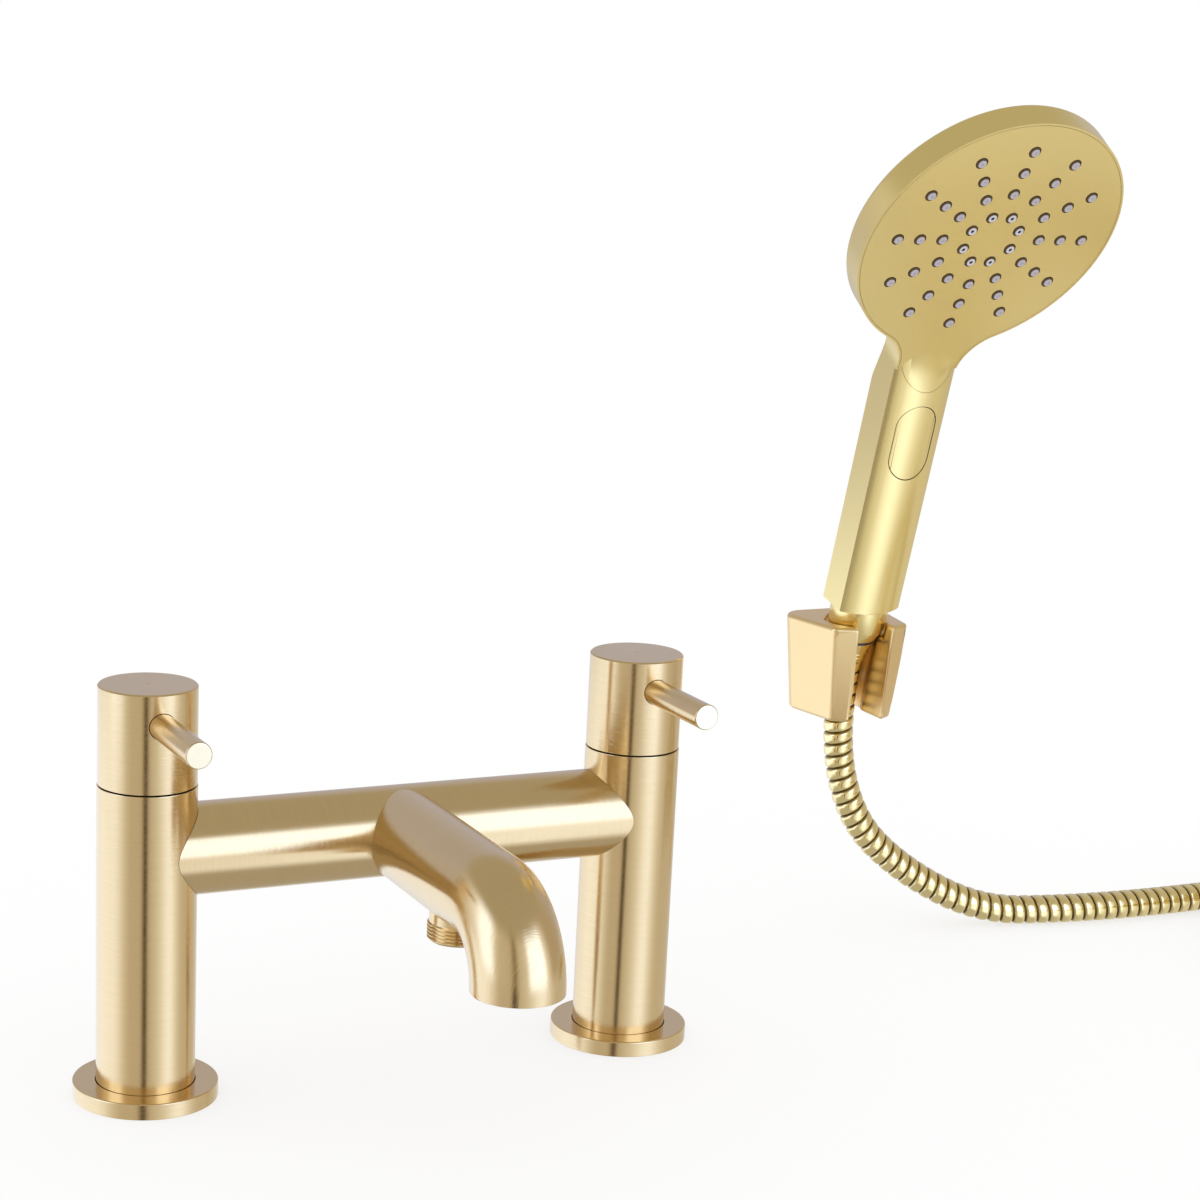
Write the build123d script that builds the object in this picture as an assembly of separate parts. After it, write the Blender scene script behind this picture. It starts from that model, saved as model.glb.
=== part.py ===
"""Deck-mounted bath shower mixer with its wall bracket, handset and metal hose.

Frame: X runs along the bridge from the left pillar to the right one, the spout
points along -Y, and Z is up. The origin lies on the deck, midway between the
two fixing tails. Every length is in millimetres.
"""

import math
import os

from build123d import *

os.makedirs("parts", exist_ok=True)

# Deck fixing
TAP_SPACING = 180.0
DECK_THICKNESS = 14.0
TAIL_THREAD_RADIUS = 13.2
TAIL_LENGTH = 54.0
TAIL_BORE_RADIUS = 8.5
TAIL_CONNECTOR_LENGTH = 27.0
TAIL_GROOVE_WIDTH = 1.5
TAIL_GROOVE_DEPTH = 0.4
TAIL_SPIGOT_RADIUS = 11.0
TAIL_SPIGOT_LENGTH = 15.0
WASHER_RADIUS = 20.0
WASHER_THICKNESS = 2.5
BACK_NUT_ACROSS_FLATS = 36.0
BACK_NUT_THICKNESS = 9.0
FLANGE_RADIUS = 24.7
FLANGE_THICKNESS = 5.6
FLANGE_SEAT_HEIGHT = 2.6
FLANGE_EDGE_CHAMFER = 0.35
GASKET_INNER_RADIUS = 15.5
GASKET_OUTER_RADIUS = 22.0
GASKET_THICKNESS = 1.2

# Pillars, bridge and spout
PILLAR_RADIUS = 16.75
BRIDGE_HEIGHT = 85.7
PILLAR_ABOVE_BRIDGE = 23.7
BRIDGE_RADIUS = 15.7
BRIDGE_WALL = 2.5
BRIDGE_PORT_RADIUS = 8.0
SPOUT_RADIUS = 15.4
SPOUT_WALL = 3.2
SPOUT_REACH = 102.4
SPOUT_BEND_RADIUS = 23.8
SPOUT_LIP = 0.5
AERATOR_RADIUS = 13.0
AERATOR_HEIGHT = 6.0
AERATOR_WALL = 2.0
AERATOR_INSET = 0.4
AERATOR_RING_COUNT = 2
AERATOR_RING_GAP = 1.4
SHOWER_OUTLET_REACH = 55.0
SHOWER_OUTLET_DROP = 6.4
SHOWER_THREAD_RADIUS = 10.48
SHOWER_NECK_RADIUS = 9.9
SHOWER_SPIGOT_RADIUS = 8.8
SHOWER_BORE_RADIUS = 7.0
CHECK_VALVE_LENGTH = 11.0
CHECK_VALVE_BORE_RADIUS = 3.6

# Quarter-turn valves and their controls
VALVE_BORE_RADIUS = 11.0
VALVE_DEPTH = 33.4
VALVE_SKIRT_RADIUS = 9.9
VALVE_COLLAR_HEIGHT = 14.4
VALVE_FLOOR = 3.0
VALVE_CAVITY_RADIUS = 8.6
VALVE_CAVITY_HEIGHT = 12.0
VALVE_INLET_RADIUS = 6.0
VALVE_WINDOW_RADIUS = 3.2
VALVE_HEX_ACROSS_FLATS = 20.0
VALVE_HEX_HEIGHT = 4.5
VALVE_NECK_RADIUS = 6.6
VALVE_NECK_HEIGHT = 5.0
DISC_THICKNESS = 2.6
DISC_PORT_RADIUS = 4.6
SPINDLE_RADIUS = 4.0
SPINDLE_DRIVE_RADIUS = 7.4
SPINDLE_DRIVE_HEIGHT = 2.2
KNOB_RADIUS = 16.55
KNOB_GAP = 0.5
KNOB_HEIGHT = 33.5
KNOB_WALL = 2.4
KNOB_ROOF = 3.4
KNOB_HUB_RADIUS = 6.8
KNOB_HUB_HEIGHT = 18.0
KNOB_SOCKET_DEPTH = 12.0
KNOB_EDGE_CHAMFER = 0.5
LEVER_RADIUS = 4.46
LEVER_RISE = 22.8
LEVER_TIP_REACH = 53.4
LEVER_STUD_RADIUS = 2.4
LEVER_EDGE_CHAMFER = 0.35
LEVER_HOLE_GAP = 0.2

# Diverter behind the bridge
DIVERTER_DROP = 6.5
DIVERTER_BOSS_RADIUS = 10.6
DIVERTER_BOSS_END = 22.0
DIVERTER_CARTRIDGE_RADIUS = 8.6
DIVERTER_CARTRIDGE_LENGTH = 20.0
DIVERTER_COLLAR_THICKNESS = 1.2
DIVERTER_SPINDLE_RADIUS = 2.6
DIVERTER_SPINDLE_DEPTH = 9.0
DIVERTER_KNOB_RADIUS = 8.4
DIVERTER_KNOB_LENGTH = 10.5
DIVERTER_KNOB_SOCKET = 7.5
DIVERTER_GRIP_COUNT = 6
DIVERTER_GRIP_RADIUS = 1.6

# Wall bracket
BRACKET_X = 225.0
WALL_Y = 95.0
BRACKET_AXIS_TO_WALL = 24.0
BRACKET_TOP = 133.0
BRACKET_HEIGHT = 39.0
BRACKET_HALF_WIDTH = 21.7
BRACKET_FRONT = 15.5
BRACKET_FACET_HALF_WIDTH = 17.0
BRACKET_FACET_SETBACK = 4.2
BRACKET_CORNER_RADIUS = 9.0
BRACKET_BOTTOM_SHARE = 0.82
BRACKET_SLOT_WIDTH = 14.6
SCREW_HOLE_RADIUS = 2.25
SCREW_HEAD_RADIUS = 4.3
SCREW_SPACING = 17.0
SCREW_SEAT_THICKNESS = 5.0
SOCKET_CLEARANCE = 0.3
SOCKET_RIM_GAP = 0.8

# Handset, set in the bracket at a forward lean
HANDSET_LEAN = 15.0
HANDLE_RISE = 8.0
HANDLE_LENGTH = 112.0
HANDLE_WIDTH = 27.0
HANDLE_SIDE_DEPTH = 13.5
HANDLE_FRONT_CROWN = 4.4
HANDLE_BACK_CROWN = 3.4
HANDLE_WALL = 2.2
HANDLE_FLOOR = 3.0
HANDLE_CAVITY_DROP = 37.0
WATERWAY_RADIUS = 3.8
HEAD_TILT = 20.0
HEAD_RADIUS = 52.0
HEAD_THICKNESS = 12.0
HEAD_BACK_FILLET = 2.5
HEAD_WALL = 2.2
HEAD_CAVITY_DEPTH = 7.0
NECK_FILLET_RADIUS = 18.0
NECK_BACK_RADIUS = 150.0
PLATE_THICKNESS = 1.6
PLATE_INSET = 1.0
TONGUE_HALF_WIDTH = 12.0
TONGUE_LENGTH = 18.0
TONGUE_SHOULDER_SHARE = 0.2
NOZZLE_HOLE_RADIUS = 2.4
NOZZLE_SPOKES = 12
NOZZLE_INNER_COUNT = 8
NOZZLE_RING_SHARES = (0.40, 0.58, 0.76)
NOZZLE_INNER_RING_SHARE = 0.21
PAD_THICKNESS = 2.6
BUTTON_HALF_WIDTH = 8.5
BUTTON_LENGTH = 30.0
BUTTON_DROP = 24.0
BUTTON_DEPTH = 5.0
BUTTON_INSET = 0.15
SPRAY_VALVE_RADIUS = 6.0
SPRAY_VALVE_LENGTH = 26.0
NIPPLE_THREAD_RADIUS = 10.4
NIPPLE_THREAD_LENGTH = 6.0
NIPPLE_SPIGOT_RADIUS = 7.4
NIPPLE_SPIGOT_LENGTH = 12.0
NIPPLE_BORE_RADIUS = 4.5

# Hose and its fittings
HOSE_RADIUS = 6.0
HOSE_BORE_RADIUS = 3.8
HOSE_GROOVE_DEPTH = 0.7
HOSE_RIB_SPACING = 9.0
HOSE_GROOVE_SHARE = 0.22
HOSE_FLANK_SHARE = 0.1
NUT_TOP_RADIUS = 11.4
NUT_WAIST_RADIUS = 11.3
NUT_WAIST_DEPTH = 8.8
NUT_END_RADIUS = 8.9
NUT_LENGTH = 14.0
NUT_SEAL_THICKNESS = 1.3
COLLAR_RADIUS = 8.2
COLLAR_THICKNESS = 1.2
STEM_RADIUS = 5.0
SWIVEL_RING_RADIUS = 8.7
SWIVEL_RING_THICKNESS = 1.2
FERRULE_RADIUS = 8.4
FERRULE_END_RADIUS = 6.3
FERRULE_LENGTH = 9.0
END_NUT_ACROSS_FLATS = 24.0
END_NUT_LENGTH = 11.0
END_NUT_BORE_RADIUS = 10.53
END_NUT_FLOOR = 2.0
END_NUT_RELIEF_DEPTH = 0.5
HOSE_STRAIGHT = 30.0
HOSE_RUN_END_X = 404.0
HOSE_SIDES = 16
COIL_RADIUS = 76.0
COIL_TURN_GAP = 0.8
COIL_LAYER_HALF_TURNS = 2
COIL_X = 456.0
COIL_EXIT_LENGTH = 76.0

# Clearances shared by the pieces
FIT_CLEARANCE = 0.05
SEAT_CLEARANCE = 0.15
FACE_GAP = 0.05
OVERRUN = 5.0

# Points of the hose after its straight start at the ferrule, down to the floor and away to the right
HOSE_ROUTE = [
    (235.1, 82.8, 47.8),
    (258.9, 77.7, 24.0),
    (292.9, 66.9, 6.0),
    (329.4, 57.6, 6.0),
    (367.0, 54.0, 6.0),
]

PILLAR_TOP = BRIDGE_HEIGHT + PILLAR_ABOVE_BRIDGE
VALVE_SEAT_HEIGHT = PILLAR_TOP - VALVE_DEPTH
BRIDGE_BORE_RADIUS = BRIDGE_RADIUS - BRIDGE_WALL
SPOUT_BORE_RADIUS = SPOUT_RADIUS - SPOUT_WALL
SPOUT_BEND_Y = SPOUT_BEND_RADIUS - SPOUT_REACH
SPOUT_BEND_Z = BRIDGE_HEIGHT - SPOUT_BEND_RADIUS
SPOUT_OUTLET_Z = SPOUT_BEND_Z - SPOUT_LIP
SPOUT_UNDERSIDE = BRIDGE_HEIGHT - SPOUT_RADIUS
SHOWER_OUTLET_Z = SPOUT_UNDERSIDE - SHOWER_OUTLET_DROP
KNOB_BOTTOM = PILLAR_TOP + KNOB_GAP
KNOB_TOP = KNOB_BOTTOM + KNOB_HEIGHT
LEVER_HEIGHT = KNOB_BOTTOM + LEVER_RISE
DIVERTER_Z = BRIDGE_HEIGHT - DIVERTER_DROP
BRACKET_AXIS_Y = WALL_Y - BRACKET_AXIS_TO_WALL
BRACKET_BOTTOM = BRACKET_TOP - BRACKET_HEIGHT
HANDLE_CAVITY_TOP = HANDLE_LENGTH - HANDLE_CAVITY_DROP
BUTTON_LOW = HANDLE_LENGTH - BUTTON_DROP - BUTTON_LENGTH
HOSE_DIAMETER = 2 * HOSE_RADIUS
SIDES = {"left": -1, "right": 1}


def disc_z(radius, low, high, x=0.0, y=0.0):
    """A plain cylinder along Z from low to high."""
    return Pos(x, y, low) * Cylinder(radius, high - low, align=(Align.CENTER, Align.CENTER, Align.MIN))


def rod(start, direction, radius, length):
    """A plain cylinder from a start point along a direction."""
    return extrude(Plane(origin=start, z_dir=direction) * Circle(radius), length)


def hexagon(across_flats, low, high, x=0.0, y=0.0):
    """A hexagonal prism along Z."""
    corner_radius = across_flats / math.sqrt(3)
    return extrude(Pos(x, y, low) * RegularPolygon(corner_radius, 6), high - low)


def save(shape, node):
    """Writes one node as its own file."""
    shape.label = node
    export_step(shape, f"parts/{node}.step")


# Deck fixing


def make_flange(x):
    """Round cover flange that stands on the deck, with a seat for the pillar and a groove for its gasket."""
    body = disc_z(FLANGE_RADIUS, 0, FLANGE_THICKNESS, x)
    top_edges = body.edges().group_by(Axis.Z)[-1]
    body = chamfer(top_edges, FLANGE_EDGE_CHAMFER)
    body -= disc_z(PILLAR_RADIUS + FIT_CLEARANCE, FLANGE_SEAT_HEIGHT, FLANGE_THICKNESS + OVERRUN, x)
    body -= disc_z(TAIL_THREAD_RADIUS + FIT_CLEARANCE, -OVERRUN, FLANGE_THICKNESS, x)
    groove = disc_z(GASKET_OUTER_RADIUS + SEAT_CLEARANCE, -OVERRUN, GASKET_THICKNESS, x)
    groove -= disc_z(GASKET_INNER_RADIUS - SEAT_CLEARANCE, -OVERRUN, GASKET_THICKNESS, x)
    return body - groove


def make_gasket(x):
    """Flat sealing ring in the underside of the flange."""
    outer = disc_z(GASKET_OUTER_RADIUS, 0, GASKET_THICKNESS, x)
    return outer - disc_z(GASKET_INNER_RADIUS, -OVERRUN, GASKET_THICKNESS + OVERRUN, x)


def make_tail(x):
    """Threaded fixing tail and water inlet, with a relief groove above the thread for the supply connector."""
    body = disc_z(TAIL_THREAD_RADIUS, -TAIL_LENGTH, FLANGE_SEAT_HEIGHT, x)
    body += disc_z(TAIL_SPIGOT_RADIUS, FLANGE_SEAT_HEIGHT, FLANGE_SEAT_HEIGHT + TAIL_SPIGOT_LENGTH, x)
    groove_low = TAIL_CONNECTOR_LENGTH - TAIL_LENGTH
    groove = disc_z(TAIL_THREAD_RADIUS + OVERRUN, groove_low, groove_low + TAIL_GROOVE_WIDTH, x)
    groove -= disc_z(TAIL_THREAD_RADIUS - TAIL_GROOVE_DEPTH, groove_low, groove_low + TAIL_GROOVE_WIDTH, x)
    body -= groove
    return body - disc_z(TAIL_BORE_RADIUS, -TAIL_LENGTH - OVERRUN, FLANGE_SEAT_HEIGHT + TAIL_LENGTH, x)


def make_washer(x):
    """Fibre washer pulled up under the deck."""
    top = -DECK_THICKNESS
    outer = disc_z(WASHER_RADIUS, top - WASHER_THICKNESS, top, x)
    return outer - disc_z(TAIL_THREAD_RADIUS + FIT_CLEARANCE, top - OVERRUN, top + OVERRUN, x)


def make_back_nut(x):
    """Hexagonal back nut that clamps the mixer to the deck."""
    top = -DECK_THICKNESS - WASHER_THICKNESS
    body = hexagon(BACK_NUT_ACROSS_FLATS, top - BACK_NUT_THICKNESS, top, x)
    return body - disc_z(TAIL_THREAD_RADIUS + FIT_CLEARANCE, top - BACK_NUT_THICKNESS - OVERRUN, top + OVERRUN, x)


# Pillars, bridge and spout


def make_pillar(x, side):
    """Upright round pillar with its inlet way, valve bore and the port to the bridge."""
    spigot_top = FLANGE_SEAT_HEIGHT + TAIL_SPIGOT_LENGTH
    body = disc_z(PILLAR_RADIUS, FLANGE_SEAT_HEIGHT, PILLAR_TOP, x)
    body -= disc_z(TAIL_SPIGOT_RADIUS + FIT_CLEARANCE, FLANGE_SEAT_HEIGHT - OVERRUN, spigot_top, x)
    body -= disc_z(TAIL_BORE_RADIUS, spigot_top - OVERRUN, VALVE_SEAT_HEIGHT + OVERRUN, x)
    body -= disc_z(VALVE_BORE_RADIUS, VALVE_SEAT_HEIGHT, PILLAR_TOP + OVERRUN, x)
    return body - rod((x, 0, BRIDGE_HEIGHT), (-side, 0, 0), BRIDGE_PORT_RADIUS, PILLAR_RADIUS + OVERRUN)


def make_bridge():
    """Cross tube saddled on both pillars, with the boss for the diverter at its back."""
    half = TAP_SPACING / 2
    body = rod((-half, 0, BRIDGE_HEIGHT), (1, 0, 0), BRIDGE_RADIUS, TAP_SPACING)
    body += rod((0, 0, DIVERTER_Z), (0, 1, 0), DIVERTER_BOSS_RADIUS, DIVERTER_BOSS_END)
    for side in SIDES.values():
        body -= disc_z(PILLAR_RADIUS, 0, PILLAR_TOP + OVERRUN, side * half)
    body -= rod((-half, 0, BRIDGE_HEIGHT), (1, 0, 0), BRIDGE_BORE_RADIUS, TAP_SPACING)
    body -= rod((0, 0, BRIDGE_HEIGHT), (0, -1, 0), SPOUT_BORE_RADIUS, BRIDGE_RADIUS + OVERRUN)
    bore_radius = DIVERTER_CARTRIDGE_RADIUS + FIT_CLEARANCE
    return body - rod((0, 0, DIVERTER_Z), (0, 1, 0), bore_radius, DIVERTER_BOSS_END + OVERRUN)


def spout_core(radius):
    """Round bar that follows the spout: out along -Y, a quarter bend down and the short lip."""
    run = rod((0, 0, BRIDGE_HEIGHT), (0, -1, 0), radius, -SPOUT_BEND_Y)
    section = Plane(origin=(0, SPOUT_BEND_Y, BRIDGE_HEIGHT), z_dir=(0, -1, 0)) * Circle(radius)
    bend_axis = Axis((0, SPOUT_BEND_Y, SPOUT_BEND_Z), (1, 0, 0))
    bend = revolve(section, bend_axis, 90)
    lip = rod((0, -SPOUT_REACH, SPOUT_BEND_Z), (0, 0, -1), radius, SPOUT_LIP)
    return run + bend + lip


def make_spout():
    """Bent spout tube saddled on the bridge, bored for the aerator and the shower outlet."""
    body = spout_core(SPOUT_RADIUS)
    body -= rod((-BRIDGE_RADIUS, 0, BRIDGE_HEIGHT), (1, 0, 0), BRIDGE_RADIUS, 2 * BRIDGE_RADIUS)
    body -= spout_core(SPOUT_BORE_RADIUS)
    aerator_top = SPOUT_OUTLET_Z + AERATOR_INSET + AERATOR_HEIGHT
    body -= disc_z(AERATOR_RADIUS, SPOUT_OUTLET_Z - OVERRUN, aerator_top, 0, -SPOUT_REACH)
    hole_radius = SHOWER_SPIGOT_RADIUS + FIT_CLEARANCE
    return body - disc_z(hole_radius, SHOWER_OUTLET_Z, BRIDGE_HEIGHT, 0, -SHOWER_OUTLET_REACH)


def make_aerator_housing():
    """Threaded ring that holds the aerator in the end of the spout."""
    low = SPOUT_OUTLET_Z + AERATOR_INSET
    body = disc_z(AERATOR_RADIUS - FIT_CLEARANCE, low, low + AERATOR_HEIGHT, 0, -SPOUT_REACH)
    bore_radius = AERATOR_RADIUS - AERATOR_WALL
    return body - disc_z(bore_radius, low - OVERRUN, low + AERATOR_HEIGHT + OVERRUN, 0, -SPOUT_REACH)


def make_aerator_insert():
    """Flow straightener: rings of slots in a round plug."""
    low = SPOUT_OUTLET_Z + 2 * AERATOR_INSET
    high = SPOUT_OUTLET_Z + AERATOR_HEIGHT
    plug_radius = AERATOR_RADIUS - AERATOR_WALL - FIT_CLEARANCE
    body = disc_z(plug_radius, low, high, 0, -SPOUT_REACH)
    ring_step = plug_radius / (AERATOR_RING_COUNT + 1)
    web_height = (high - low) / 2
    for ring in range(AERATOR_RING_COUNT):
        ring_radius = ring_step * (ring + 1)
        slot = disc_z(ring_radius + AERATOR_RING_GAP / 2, low - OVERRUN, low + web_height, 0, -SPOUT_REACH)
        slot -= disc_z(ring_radius - AERATOR_RING_GAP / 2, low - OVERRUN, low + web_height, 0, -SPOUT_REACH)
        body -= slot
    return body


def make_shower_outlet():
    """Threaded nipple under the spout that the shower hose screws on to."""
    y = -SHOWER_OUTLET_REACH
    neck_bottom = SPOUT_UNDERSIDE - FACE_GAP
    body = disc_z(SHOWER_NECK_RADIUS, neck_bottom, BRIDGE_HEIGHT, 0, y)
    body -= rod((0, 0, BRIDGE_HEIGHT), (0, -1, 0), SPOUT_RADIUS, SPOUT_REACH)
    body += disc_z(SHOWER_THREAD_RADIUS, SHOWER_OUTLET_Z, neck_bottom, 0, y)
    body += disc_z(SHOWER_SPIGOT_RADIUS, neck_bottom - FACE_GAP, SPOUT_UNDERSIDE + SPOUT_WALL, 0, y)
    return body - disc_z(SHOWER_BORE_RADIUS, SHOWER_OUTLET_Z - OVERRUN, BRIDGE_HEIGHT, 0, y)


def make_check_valve():
    """Non-return cartridge inside the shower outlet."""
    low = SHOWER_OUTLET_Z + FLANGE_EDGE_CHAMFER
    y = -SHOWER_OUTLET_REACH
    body = disc_z(SHOWER_BORE_RADIUS - FIT_CLEARANCE, low, low + CHECK_VALVE_LENGTH / 2, 0, y)
    body += disc_z(SHOWER_BORE_RADIUS - 2 * SEAT_CLEARANCE, low, low + CHECK_VALVE_LENGTH, 0, y)
    return body - disc_z(CHECK_VALVE_BORE_RADIUS, low - OVERRUN, low + CHECK_VALVE_LENGTH + OVERRUN, 0, y)


# Quarter-turn valves and their controls


def make_valve_body(x, side):
    """Brass valve body in the top of the pillar, open below and at its side window."""
    skirt_top = PILLAR_TOP - VALVE_COLLAR_HEIGHT
    hex_top = PILLAR_TOP + VALVE_HEX_HEIGHT
    neck_top = hex_top + VALVE_NECK_HEIGHT
    cavity_low = VALVE_SEAT_HEIGHT + VALVE_FLOOR
    body = disc_z(VALVE_SKIRT_RADIUS, VALVE_SEAT_HEIGHT, skirt_top, x)
    body += disc_z(VALVE_BORE_RADIUS - FIT_CLEARANCE, skirt_top, PILLAR_TOP, x)
    body += hexagon(VALVE_HEX_ACROSS_FLATS, PILLAR_TOP, hex_top, x)
    body += disc_z(VALVE_NECK_RADIUS, hex_top, neck_top, x)
    body -= disc_z(VALVE_CAVITY_RADIUS, cavity_low, cavity_low + VALVE_CAVITY_HEIGHT, x)
    body -= disc_z(VALVE_INLET_RADIUS, VALVE_SEAT_HEIGHT - OVERRUN, cavity_low + OVERRUN, x)
    body -= disc_z(SPINDLE_RADIUS + FIT_CLEARANCE, cavity_low, neck_top + OVERRUN, x)
    window_z = cavity_low + VALVE_CAVITY_HEIGHT - VALVE_WINDOW_RADIUS - VALVE_FLOOR / 2
    return body - rod((x, 0, window_z), (-side, 0, 0), VALVE_WINDOW_RADIUS, VALVE_SKIRT_RADIUS + OVERRUN)


def make_disc(x, low, radius, turned):
    """Ceramic disc with a half-moon port, turned by a quarter when the valve is shut."""
    body = disc_z(radius, low, low + DISC_THICKNESS, x)
    port = disc_z(DISC_PORT_RADIUS, low - OVERRUN, low + DISC_THICKNESS + OVERRUN, x)
    keep = Box(4 * radius, 4 * radius, 4 * OVERRUN, align=(Align.CENTER, Align.MIN, Align.CENTER))
    port -= Pos(x, -DISC_PORT_RADIUS / 4, low) * Rot(Z=turned) * keep
    return body - port


def make_spindle(x):
    """Turning spindle that carries the knob and drives the upper disc."""
    low = drive_bottom()
    body = disc_z(SPINDLE_DRIVE_RADIUS, low, low + SPINDLE_DRIVE_HEIGHT, x)
    top = KNOB_TOP - KNOB_ROOF - KNOB_HUB_HEIGHT + KNOB_SOCKET_DEPTH - FACE_GAP
    return body + disc_z(SPINDLE_RADIUS, low, top, x)


def fixed_disc_bottom():
    """Height of the fixed disc's lower face."""
    return VALVE_SEAT_HEIGHT + VALVE_FLOOR


def turning_disc_bottom():
    """Height of the turning disc's lower face."""
    return fixed_disc_bottom() + DISC_THICKNESS + FACE_GAP


def drive_bottom():
    """Height of the spindle's drive flange."""
    return turning_disc_bottom() + DISC_THICKNESS


def make_knob(x):
    """Cylindrical cap that turns on the pillar, with a hub for the spindle and a hole for the lever."""
    roof = KNOB_TOP - KNOB_ROOF
    hub_low = roof - KNOB_HUB_HEIGHT
    body = disc_z(KNOB_RADIUS, KNOB_BOTTOM, KNOB_TOP, x)
    body = chamfer(body.edges().group_by(Axis.Z)[-1], KNOB_EDGE_CHAMFER)
    body -= disc_z(KNOB_RADIUS - KNOB_WALL, KNOB_BOTTOM - OVERRUN, roof, x)
    body += disc_z(KNOB_HUB_RADIUS, hub_low, roof + KNOB_ROOF / 2, x)
    body -= disc_z(SPINDLE_RADIUS + FIT_CLEARANCE, hub_low - OVERRUN, hub_low + KNOB_SOCKET_DEPTH, x)
    start = (x, -KNOB_HUB_RADIUS, LEVER_HEIGHT)
    body -= rod(start, (0, -1, 0), LEVER_RADIUS + LEVER_HOLE_GAP, KNOB_RADIUS)
    return body - rod((x, 0, LEVER_HEIGHT), (0, -1, 0), LEVER_STUD_RADIUS + FIT_CLEARANCE, KNOB_RADIUS)


def make_lever(x):
    """Round pin lever, screwed through the knob's wall into the hub."""
    root_y = -KNOB_HUB_RADIUS - FACE_GAP
    length = LEVER_TIP_REACH + root_y
    body = rod((x, root_y, LEVER_HEIGHT), (0, -1, 0), LEVER_RADIUS, length)
    body = chamfer(body.edges().group_by(Axis.Y)[0], LEVER_EDGE_CHAMFER)
    stud_y = -SPINDLE_RADIUS - 2 * FIT_CLEARANCE
    return body + rod((x, stud_y, LEVER_HEIGHT), (0, -1, 0), LEVER_STUD_RADIUS, stud_y - root_y)


# Diverter


def make_diverter_cartridge():
    """Cartridge in the rear boss that sends the water to the spout or the shower."""
    collar_end = DIVERTER_BOSS_END + DIVERTER_COLLAR_THICKNESS
    start = (0, DIVERTER_BOSS_END - DIVERTER_CARTRIDGE_LENGTH, DIVERTER_Z)
    body = rod(start, (0, 1, 0), DIVERTER_CARTRIDGE_RADIUS, DIVERTER_CARTRIDGE_LENGTH)
    body += rod((0, DIVERTER_BOSS_END, DIVERTER_Z), (0, 1, 0), DIVERTER_BOSS_RADIUS - KNOB_GAP, DIVERTER_COLLAR_THICKNESS)
    bore_start = (0, collar_end - DIVERTER_SPINDLE_DEPTH, DIVERTER_Z)
    return body - rod(bore_start, (0, 1, 0), DIVERTER_SPINDLE_RADIUS + FIT_CLEARANCE, 2 * DIVERTER_SPINDLE_DEPTH)


def diverter_knob_front():
    """Y of the diverter knob's face that turns next to the collar."""
    return DIVERTER_BOSS_END + DIVERTER_COLLAR_THICKNESS + KNOB_GAP


def make_diverter_spindle():
    """Spindle between the diverter cartridge and its knob."""
    start_y = DIVERTER_BOSS_END + DIVERTER_COLLAR_THICKNESS - DIVERTER_SPINDLE_DEPTH + FACE_GAP
    end_y = diverter_knob_front() + DIVERTER_KNOB_SOCKET - FACE_GAP
    return rod((0, start_y, DIVERTER_Z), (0, 1, 0), DIVERTER_SPINDLE_RADIUS, end_y - start_y)


def make_diverter_knob():
    """Small round knob with finger grooves."""
    front = diverter_knob_front()
    body = rod((0, front, DIVERTER_Z), (0, 1, 0), DIVERTER_KNOB_RADIUS, DIVERTER_KNOB_LENGTH)
    body = chamfer(body.edges().group_by(Axis.Y)[-1], KNOB_EDGE_CHAMFER)
    body -= rod((0, front, DIVERTER_Z), (0, 1, 0), DIVERTER_SPINDLE_RADIUS + FIT_CLEARANCE, DIVERTER_KNOB_SOCKET)
    for grip in range(DIVERTER_GRIP_COUNT):
        angle = math.radians(360 * (grip + 0.5) / DIVERTER_GRIP_COUNT)
        x = DIVERTER_KNOB_RADIUS * math.cos(angle)
        z = DIVERTER_Z + DIVERTER_KNOB_RADIUS * math.sin(angle)
        start = (x, front + DIVERTER_GRIP_RADIUS, z)
        body -= rod(start, (0, 1, 0), DIVERTER_GRIP_RADIUS, DIVERTER_KNOB_LENGTH)
    return body


# Handset, drawn upright in its own frame: origin at the centre of the handle's lower face, front along -Y


def handset_place():
    """Where the handset's own frame sits: leaning forward, its axis through the bracket's socket."""
    lean = math.radians(HANDSET_LEAN)
    y = BRACKET_AXIS_Y - HANDLE_RISE * math.sin(lean)
    z = BRACKET_TOP + HANDLE_RISE * math.cos(lean)
    return Pos(BRACKET_X, y, z) * Rot(X=HANDSET_LEAN)


HANDLE_FRONT = -HANDLE_SIDE_DEPTH / 2 - HANDLE_FRONT_CROWN
HANDLE_BACK = HANDLE_SIDE_DEPTH / 2 + HANDLE_BACK_CROWN
NUT_BOTTOM = -NUT_LENGTH
SWIVEL_BOTTOM = NUT_BOTTOM - FACE_GAP - SWIVEL_RING_THICKNESS
FERRULE_BOTTOM = SWIVEL_BOTTOM - FERRULE_LENGTH


def handle_section(inset):
    """Cross-section of the handle: flat sides, a crowned front and a crowned back."""
    half_width = HANDLE_WIDTH / 2 - inset
    half_side = HANDLE_SIDE_DEPTH / 2
    front = ThreePointArc((-half_width, -half_side), (0, HANDLE_FRONT + inset), (half_width, -half_side))
    right = Line((half_width, -half_side), (half_width, half_side))
    back = ThreePointArc((half_width, half_side), (0, HANDLE_BACK - inset), (-half_width, half_side))
    left = Line((-half_width, half_side), (-half_width, -half_side))
    return make_face(Curve() + [front, right, back, left])


def handle_bar(inset, low, high):
    """The handle's cross-section run from low to high."""
    return Pos(0, 0, low) * extrude(handle_section(inset), high - low)


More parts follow.
